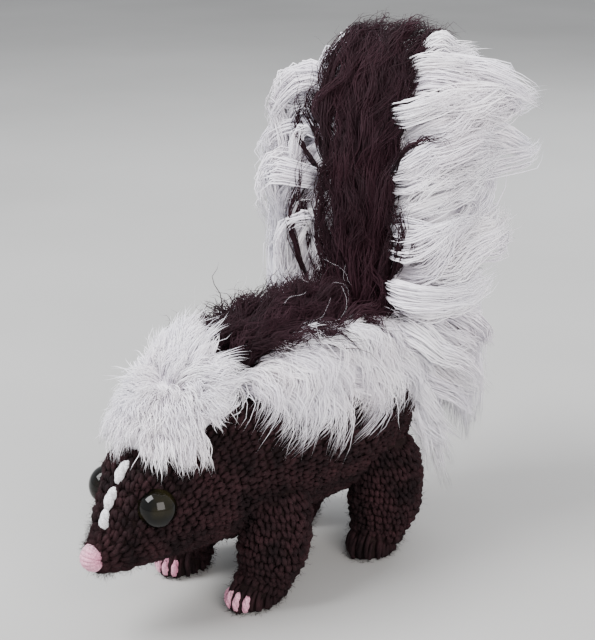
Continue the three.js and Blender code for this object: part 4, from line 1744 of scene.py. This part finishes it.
@dataclass
class LooseFibres:
    """Long fine fibres that have worked out of the coats and wander over the back and the tail."""

    seed: int = 61
    white_count: int = 22
    white_places: Span = (0.58, 0.85)
    white_angles: Span = (66, 114)
    back_height: float = 24
    dark_count: int = 190
    dark_places: Span = (0.2, 0.9)
    dark_angles: Span = (45, 125)
    dark_share: float = 0.9
    points: int = 12
    sides: int = 3
    length: float = 22
    lengths: Span = (0.5, 1.3)
    radius: float = 0.03
    upright: float = 0.5
    curl: float = 0.13
    steadiness: float = 0.7

    def build(self) -> None:
        """Makes the white fibres over the dark yarn and the dark ones round the dark coats."""
        random = np.random.default_rng(self.seed)
        t = random.uniform(*self.white_places, self.white_count)
        angle = random.uniform(*self.white_angles, self.white_count)
        roots = BODY.point(t, angle, self.back_height)
        white = self.fibres(roots, BODY.normal(t, angle), random)
        white.piece("loose_white_fibres", WHITE_HAIR.build(), WHITE_HAIR.slot)
        t = random.uniform(*self.dark_places, self.dark_count)
        angle = random.uniform(*self.dark_angles, self.dark_count)
        roots = TAIL.point(t, angle, PLUME.dark_reach(t, angle) * self.dark_share)
        dark = self.fibres(roots, TAIL.normal(t, angle), random)
        dark.piece("loose_dark_fibres", DARK_HAIR.build(), DARK_HAIR.slot)

    def fibres(self, roots: np.ndarray, normals: np.ndarray, random: Random) -> Shape:
        """Makes one curly fibre from each root.

        Args:
            roots: Where the fibres start.
            normals: The way out of the surface there.
            random: The fibres' random numbers.

        Returns:
            All fibres together.
        """
        count = len(roots)
        heading = unit(normals * self.upright + random.normal(0, 1, (count, 3)))
        step = self.length / self.points * random.uniform(*self.lengths, (count, 1))
        turning = np.zeros((count, 3))
        lines = [roots]
        for _ in range(self.points - 1):
            turning = self.steadiness * turning + random.normal(0, self.curl, (count, 3))
            heading = unit(heading + turning)
            lines.append(lines[-1] + heading * step)
        wide = unit(random.normal(0, 1, (count, 3)))
        radius = np.full((count, self.points), self.radius)
        return felted(*tubes(np.stack(lines, axis=1), wide, radius, self.sides))


@dataclass
class Eyes:
    """The two glossy safety eyes, each a low dome with a flat rim."""

    t: float = 0.33
    angle: float = 28
    radius: float = 9.2
    height: float = 8
    forward: float = 0.35
    rings: int = 34
    sides: int = 56
    rim: float = 0.035
    rim_width: float = 0.09

    def build(self) -> None:
        """Makes both eyes."""
        material = EYE_PLASTIC.build()
        for flank, node in ((Flank.LEFT, "eye_left"), (Flank.RIGHT, "eye_right")):
            self.dome(flank).piece(f"{node}_dome", material, EYE_PLASTIC.slot, (node,))

    def dome(self, flank: Flank) -> Shape:
        """Makes one dome.

        Args:
            flank: The side that it is on.

        Returns:
            The closed dome.
        """
        angle = flank.turn(self.angle)
        axis = BODY.normal(self.t, angle)
        axis = unit(axis + np.array([0, -self.forward, 0]))
        seat = BODY.point(self.t, angle)
        first = unit(np.cross(axis, UP))
        second = np.cross(axis, first)
        polar = np.linspace(0, math.pi, self.rings)[1:-1, None]
        turn = (np.arange(self.sides) * 2 * math.pi / self.sides)[None]
        rim = 1 + self.rim * np.exp(-(((polar - math.pi / 2) / self.rim_width) ** 2))
        wide = self.radius * np.sin(polar) * rim
        rings = (
            (wide * np.cos(turn))[..., None] * first
            + (wide * np.sin(turn))[..., None] * second
            + (self.height * np.cos(polar) + 0 * turn)[..., None] * axis
        )
        top, foot = seat + axis * self.height, seat - axis * self.height
        return Shape(*closed_rings(rings[None] + seat, top[None], foot[None]))


@dataclass
class Nose:
    """The pink nose: a bulb under satin stitches that run over it from side to side."""

    centre: Point = (0, -128.3, 43.6)
    half: Point = (6.6, 7.2, 6.8)
    bulb_inset: float = 1.2
    bulb_rings: int = 22
    bulb_sides: int = 32
    strands: int = 8
    strand_inset: float = 0.9
    strand_points: int = 17
    strand_radius: float = 1.25
    strand_power: float = 0.3
    strand_sides: int = 7
    strand_tilt: float = 0.01
    first_lean: float = -70
    lean_span: float = 140
    first_turn: float = 0.04
    turn_span: float = 0.92

    def build(self) -> None:
        """Makes the nose."""
        shapes = [self.bulb(), self.satin()]
        Shape.joined(shapes).piece("nose_stitches", PINK_STITCH.build(), PINK_STITCH.slot, ("nose",))

    def bulb(self) -> Shape:
        """Makes the bulb.

        Returns:
            The closed bulb.
        """
        centre, half = np.array(self.centre), np.array(self.half) - self.bulb_inset
        polar = np.linspace(0, math.pi, self.bulb_rings)[1:-1, None]
        turn = (np.arange(self.bulb_sides) * 2 * math.pi / self.bulb_sides)[None]
        flat = -np.cos(polar) + 0 * turn
        ring = np.stack([np.sin(polar) * np.cos(turn), flat, np.sin(polar) * np.sin(turn)], -1)
        pole = np.array([0, half[1], 0])
        front, back = centre - pole, centre + pole
        return Shape(*closed_rings((centre + ring * half)[None], front[None], back[None]))

    def satin(self) -> Shape:
        """Makes the stitches over the bulb.

        Returns:
            All strands together.
        """
        centre, half = np.array(self.centre), np.array(self.half) - self.strand_inset
        s = np.linspace(0, 1, self.strand_points)
        sweep = math.pi * (self.first_turn + self.turn_span * s)
        forward = np.sin(sweep)
        lines = []
        for i in range(self.strands):
            lean = math.radians(self.first_lean + self.lean_span * i / (self.strands - 1))
            line = np.stack([-np.cos(sweep), -forward * math.cos(lean), forward * math.sin(lean)], -1)
            lines.append(centre + line * half)
        radius = np.tile(self.strand_radius * np.sin(math.pi * s) ** self.strand_power, (self.strands, 1))
        wide = np.tile(UP + self.strand_tilt, (self.strands, 1))
        return Shape(*tubes(np.array(lines), wide, radius, self.strand_sides))


@dataclass
class YarnTrim:
    """The pink toe stitches and the white stitches of the blaze."""

    blaze_angle: float = 84
    blaze: tuple[tuple[str, float, float], ...] = (
        ("blaze_low", 0.155, 0.25), ("blaze_mid", 0.24, 0.305), ("blaze_top", 0.312, 0.368),
    )
    blaze_radius: float = 2.5
    toes: int = 4
    toe_step: float = 24
    toe_top: float = 0.775
    toe_sole: float = 0.88
    toe_radius: float = 1.8
    points: int = 15
    plies: int = 3
    ply_sides: int = 8
    ply_radius: float = 0.62
    ply_orbit: float = 0.45
    twist: float = 0.9
    end_power: float = 0.4
    lift: float = 0.8
    sink: float = 0.6

    def build(self) -> None:
        """Makes all the stitches."""
        white = WHITE_STITCH.build()
        for name, low, top in self.blaze:
            shape = self.stitch(BODY, (low, self.blaze_angle), (top, self.blaze_angle), self.blaze_radius)
            shape.piece(f"{name}_stitch", white, WHITE_STITCH.slot, (name,))
        pink = PINK_STITCH.build()
        for leg in ("leg_front_left", "leg_front_right"):
            for i in range(self.toes):
                angle = -90 + (i - (self.toes - 1) / 2) * self.toe_step
                node = f"{leg.replace('leg', 'toe')}_{i + 1}"
                shape = self.stitch(LEGS[leg], (self.toe_top, angle), (self.toe_sole, angle), self.toe_radius)
                shape.piece(f"{node}_stitch", pink, PINK_STITCH.slot, (node,))

    def stitch(self, loft: Loft, start: Spot, end: Spot, radius: float) -> Shape:
        """Makes a fat stitch of twisted plies on a loft.

        Args:
            loft: Loft that it lies on.
            start: Its first end, as t and degrees.
            end: Its other end.
            radius: Half its width.

        Returns:
            The plies together.
        """
        s = np.linspace(0, 1, self.points)
        t = start[0] + (end[0] - start[0]) * s
        angle = start[1] + (end[1] - start[1]) * s
        swell = np.sin(math.pi * s) ** self.end_power
        normal = loft.normal(t, angle)
        along = unit(np.gradient(loft.point(t, angle), axis=0))
        across = np.cross(along, normal)
        centre = loft.point(t, angle) + normal * (radius * swell * self.lift - self.sink)[:, None]
        orbit = (self.ply_orbit * radius * swell)[:, None]
        lines = []
        for i in range(self.plies):
            turn = 2 * math.pi * (i / self.plies + self.twist * s)
            lines.append(centre + (np.cos(turn)[:, None] * across + np.sin(turn)[:, None] * normal) * orbit)
        wide = np.tile(across[self.points // 2], (self.plies, 1))
        thick = np.tile(self.ply_radius * radius * swell, (self.plies, 1))
        return Shape(*tubes(np.array(lines), wide, thick, self.ply_sides))


@dataclass(frozen=True)
class Panel:
    """One soft square panel of light that faces the toy, in metres and watts."""

    name: str
    place: Point
    size: float
    power: float
    colour: Colour
    aim: Point = (0, 0, 0.13)

    def build(self) -> None:
        """Makes the light."""
        data = bpy.data.lights.new(self.name, "AREA")
        data.shape = "SQUARE"
        data.size = self.size
        data.energy = self.power
        data.color = self.colour
        light = bpy.data.objects.new(self.name, data)
        light.location = self.place
        heading = Vector(self.aim) - Vector(self.place)
        light.rotation_euler = heading.to_track_quat("-Z", "Y").to_euler()
        bpy.context.scene.collection.objects.link(light)


@dataclass
class Studio:
    """Floor, light and camera."""

    floor_reach: float = 6.0
    sky: Colour = (0.86, 0.88, 0.92)
    sky_strength: float = 0.95
    panels: tuple[Panel, ...] = (
        Panel("key", (-0.5, -0.9, 1.3), 0.9, 52, (0.98, 0.99, 1.0)),
        Panel("fill", (1.2, -0.5, 0.7), 1.0, 27, (1.0, 0.95, 0.92)),
        Panel("rim", (-0.3, 1.2, 1.1), 0.8, 20, (0.93, 0.96, 1.0)),
    )
    target: Point = (4, 0, 130)
    azimuth: float = 45
    elevation: float = 18
    distance: float = 750
    sensor: float = 36
    focal_pixels: float = 1500
    image_width: float = 595

    def build(self) -> None:
        """Makes the whole studio."""
        self.floor()
        self.glow()
        for panel in self.panels:
            panel.build()
        self.camera()

    def floor(self) -> None:
        """Makes a wide pale floor."""
        mesh = bpy.data.meshes.new("floor")
        reach = self.floor_reach
        corners = [(-reach, -reach, 0), (reach, -reach, 0), (reach, reach, 0), (-reach, reach, 0)]
        mesh.from_pydata(corners, [], [(0, 1, 2, 3)])
        mesh.materials.append(PALE_FLOOR.build())
        floor = bpy.data.objects.new("floor", mesh)
        bpy.context.scene.collection.objects.link(floor)

    def glow(self) -> None:
        """Makes the sky's glow."""
        world = bpy.data.worlds.new("studio")
        bpy.context.scene.world = world
        world.use_nodes = True
        background = world.node_tree.nodes["Background"]
        background.inputs["Color"].default_value = (*self.sky, 1)
        background.inputs["Strength"].default_value = self.sky_strength

    def camera(self) -> None:
        """Makes the camera at the photograph's angle."""
        a, e = math.radians(self.azimuth), math.radians(self.elevation)
        back = Vector((math.sin(a) * math.cos(e), -math.cos(a) * math.cos(e), math.sin(e)))
        target = Vector((np.array(self.target) + SHIFT) * MM)
        data = bpy.data.cameras.new("camera")
        data.sensor_fit = "HORIZONTAL"
        data.sensor_width = self.sensor
        data.lens = self.sensor * self.focal_pixels / self.image_width
        camera = bpy.data.objects.new("camera", data)
        camera.location = target + back * self.distance * MM
        camera.rotation_euler = (-back).to_track_quat("-Z", "Y").to_euler()
        bpy.context.scene.collection.objects.link(camera)
        bpy.context.scene.camera = camera


SHORT_BRUSH = Brush(
    strands=38, points=6, width=0.27, spread=4.6, thick=3.2, gather=0.34,
    wave=1.4, waves=1.1, frizz=2.0, stray=0.06, ragged=0.5,
)
STRIPE_BRUSH = Brush(
    strands=54, points=7, width=0.3, spread=5.4, thick=2.4, gather=0.42,
    wave=2.1, waves=1.3, frizz=2.3, stray=0.1, ragged=0.8,
)
CURLY_BRUSH = Brush(
    strands=38, points=9, width=0.28, spread=3.8, thick=3.0, gather=0.6,
    wave=2.8, waves=1.9, frizz=3.4,
)
FAR_BRUSH = Brush(
    strands=35, points=8, width=0.46, spread=6.2, thick=2.8, gather=0.25,
    wave=2.2, waves=1.5, frizz=1.2, stray=0.08,
)
WAVY_BRUSH = Brush(
    strands=20, points=11, width=0.31, spread=2.6, thick=1.8, gather=0.5,
    wave=3.1, waves=2.5, frizz=2.0, stray=0.12,
)
PLUME_BRUSH = Brush(
    strands=44, points=8, width=0.42, spread=6.2, thick=2.8, gather=0.25,
    wave=2.2, waves=1.5, frizz=1.2, stray=0.08,
)


def coats() -> list[Coat]:
    """Returns the coats from the head to the tail."""
    return [
        Crest("crest_hair", "crest", WHITE_HAIR, SHORT_BRUSH, seed=11),
        Stripe("stripe_left_hair", "stripe_left", WHITE_HAIR, STRIPE_BRUSH, seed=21, flank=Flank.LEFT),
        Stripe("stripe_right_hair", "stripe_right", WHITE_HAIR, STRIPE_BRUSH, seed=22, flank=Flank.RIGHT),
        BackFur("back_hair", "back_fur", DARK_HAIR, CURLY_BRUSH, seed=31),
        DarkTail("tail_dark_hair", "tail_dark", DARK_HAIR, WAVY_BRUSH, seed=41, pieces=2),
        WhiteTail(
            "tail_white_left_hair", "tail_white_left", WHITE_HAIR, PLUME_BRUSH, seed=51, pieces=2,
            flank=Flank.LEFT,
        ),
        WhiteTail(
            "tail_white_right_hair", "tail_white_right", WHITE_HAIR, FAR_BRUSH, seed=52, pieces=2,
            flank=Flank.RIGHT, stages=((0.3, 0, 0), (0.74, -0.06, 0.25), (1, 0.34, 0.6), (1.02, 1, 1)),
            lifts=(-64, -58, -52, -54, -60), tuft_pull=0.4, tufts=(236, 205, 170, 136, 100),
            shares=(0.76, 1.08), sweep=0, reach_share=0.81, front_columns=(47, 56, 65), bend=4.2,
        ),
    ]


def main() -> None:
    """Builds the toy from its body out, and then the studio."""
    logging.basicConfig(level=logging.INFO, format="%(name)s %(message)s")
    CrochetSkin().build()
    Eyes().build()
    Nose().build()
    YarnTrim().build()
    for coat in coats():
        coat.build()
    LooseFibres().build()
    Studio().build()


if __name__ == "__main__":
    main()
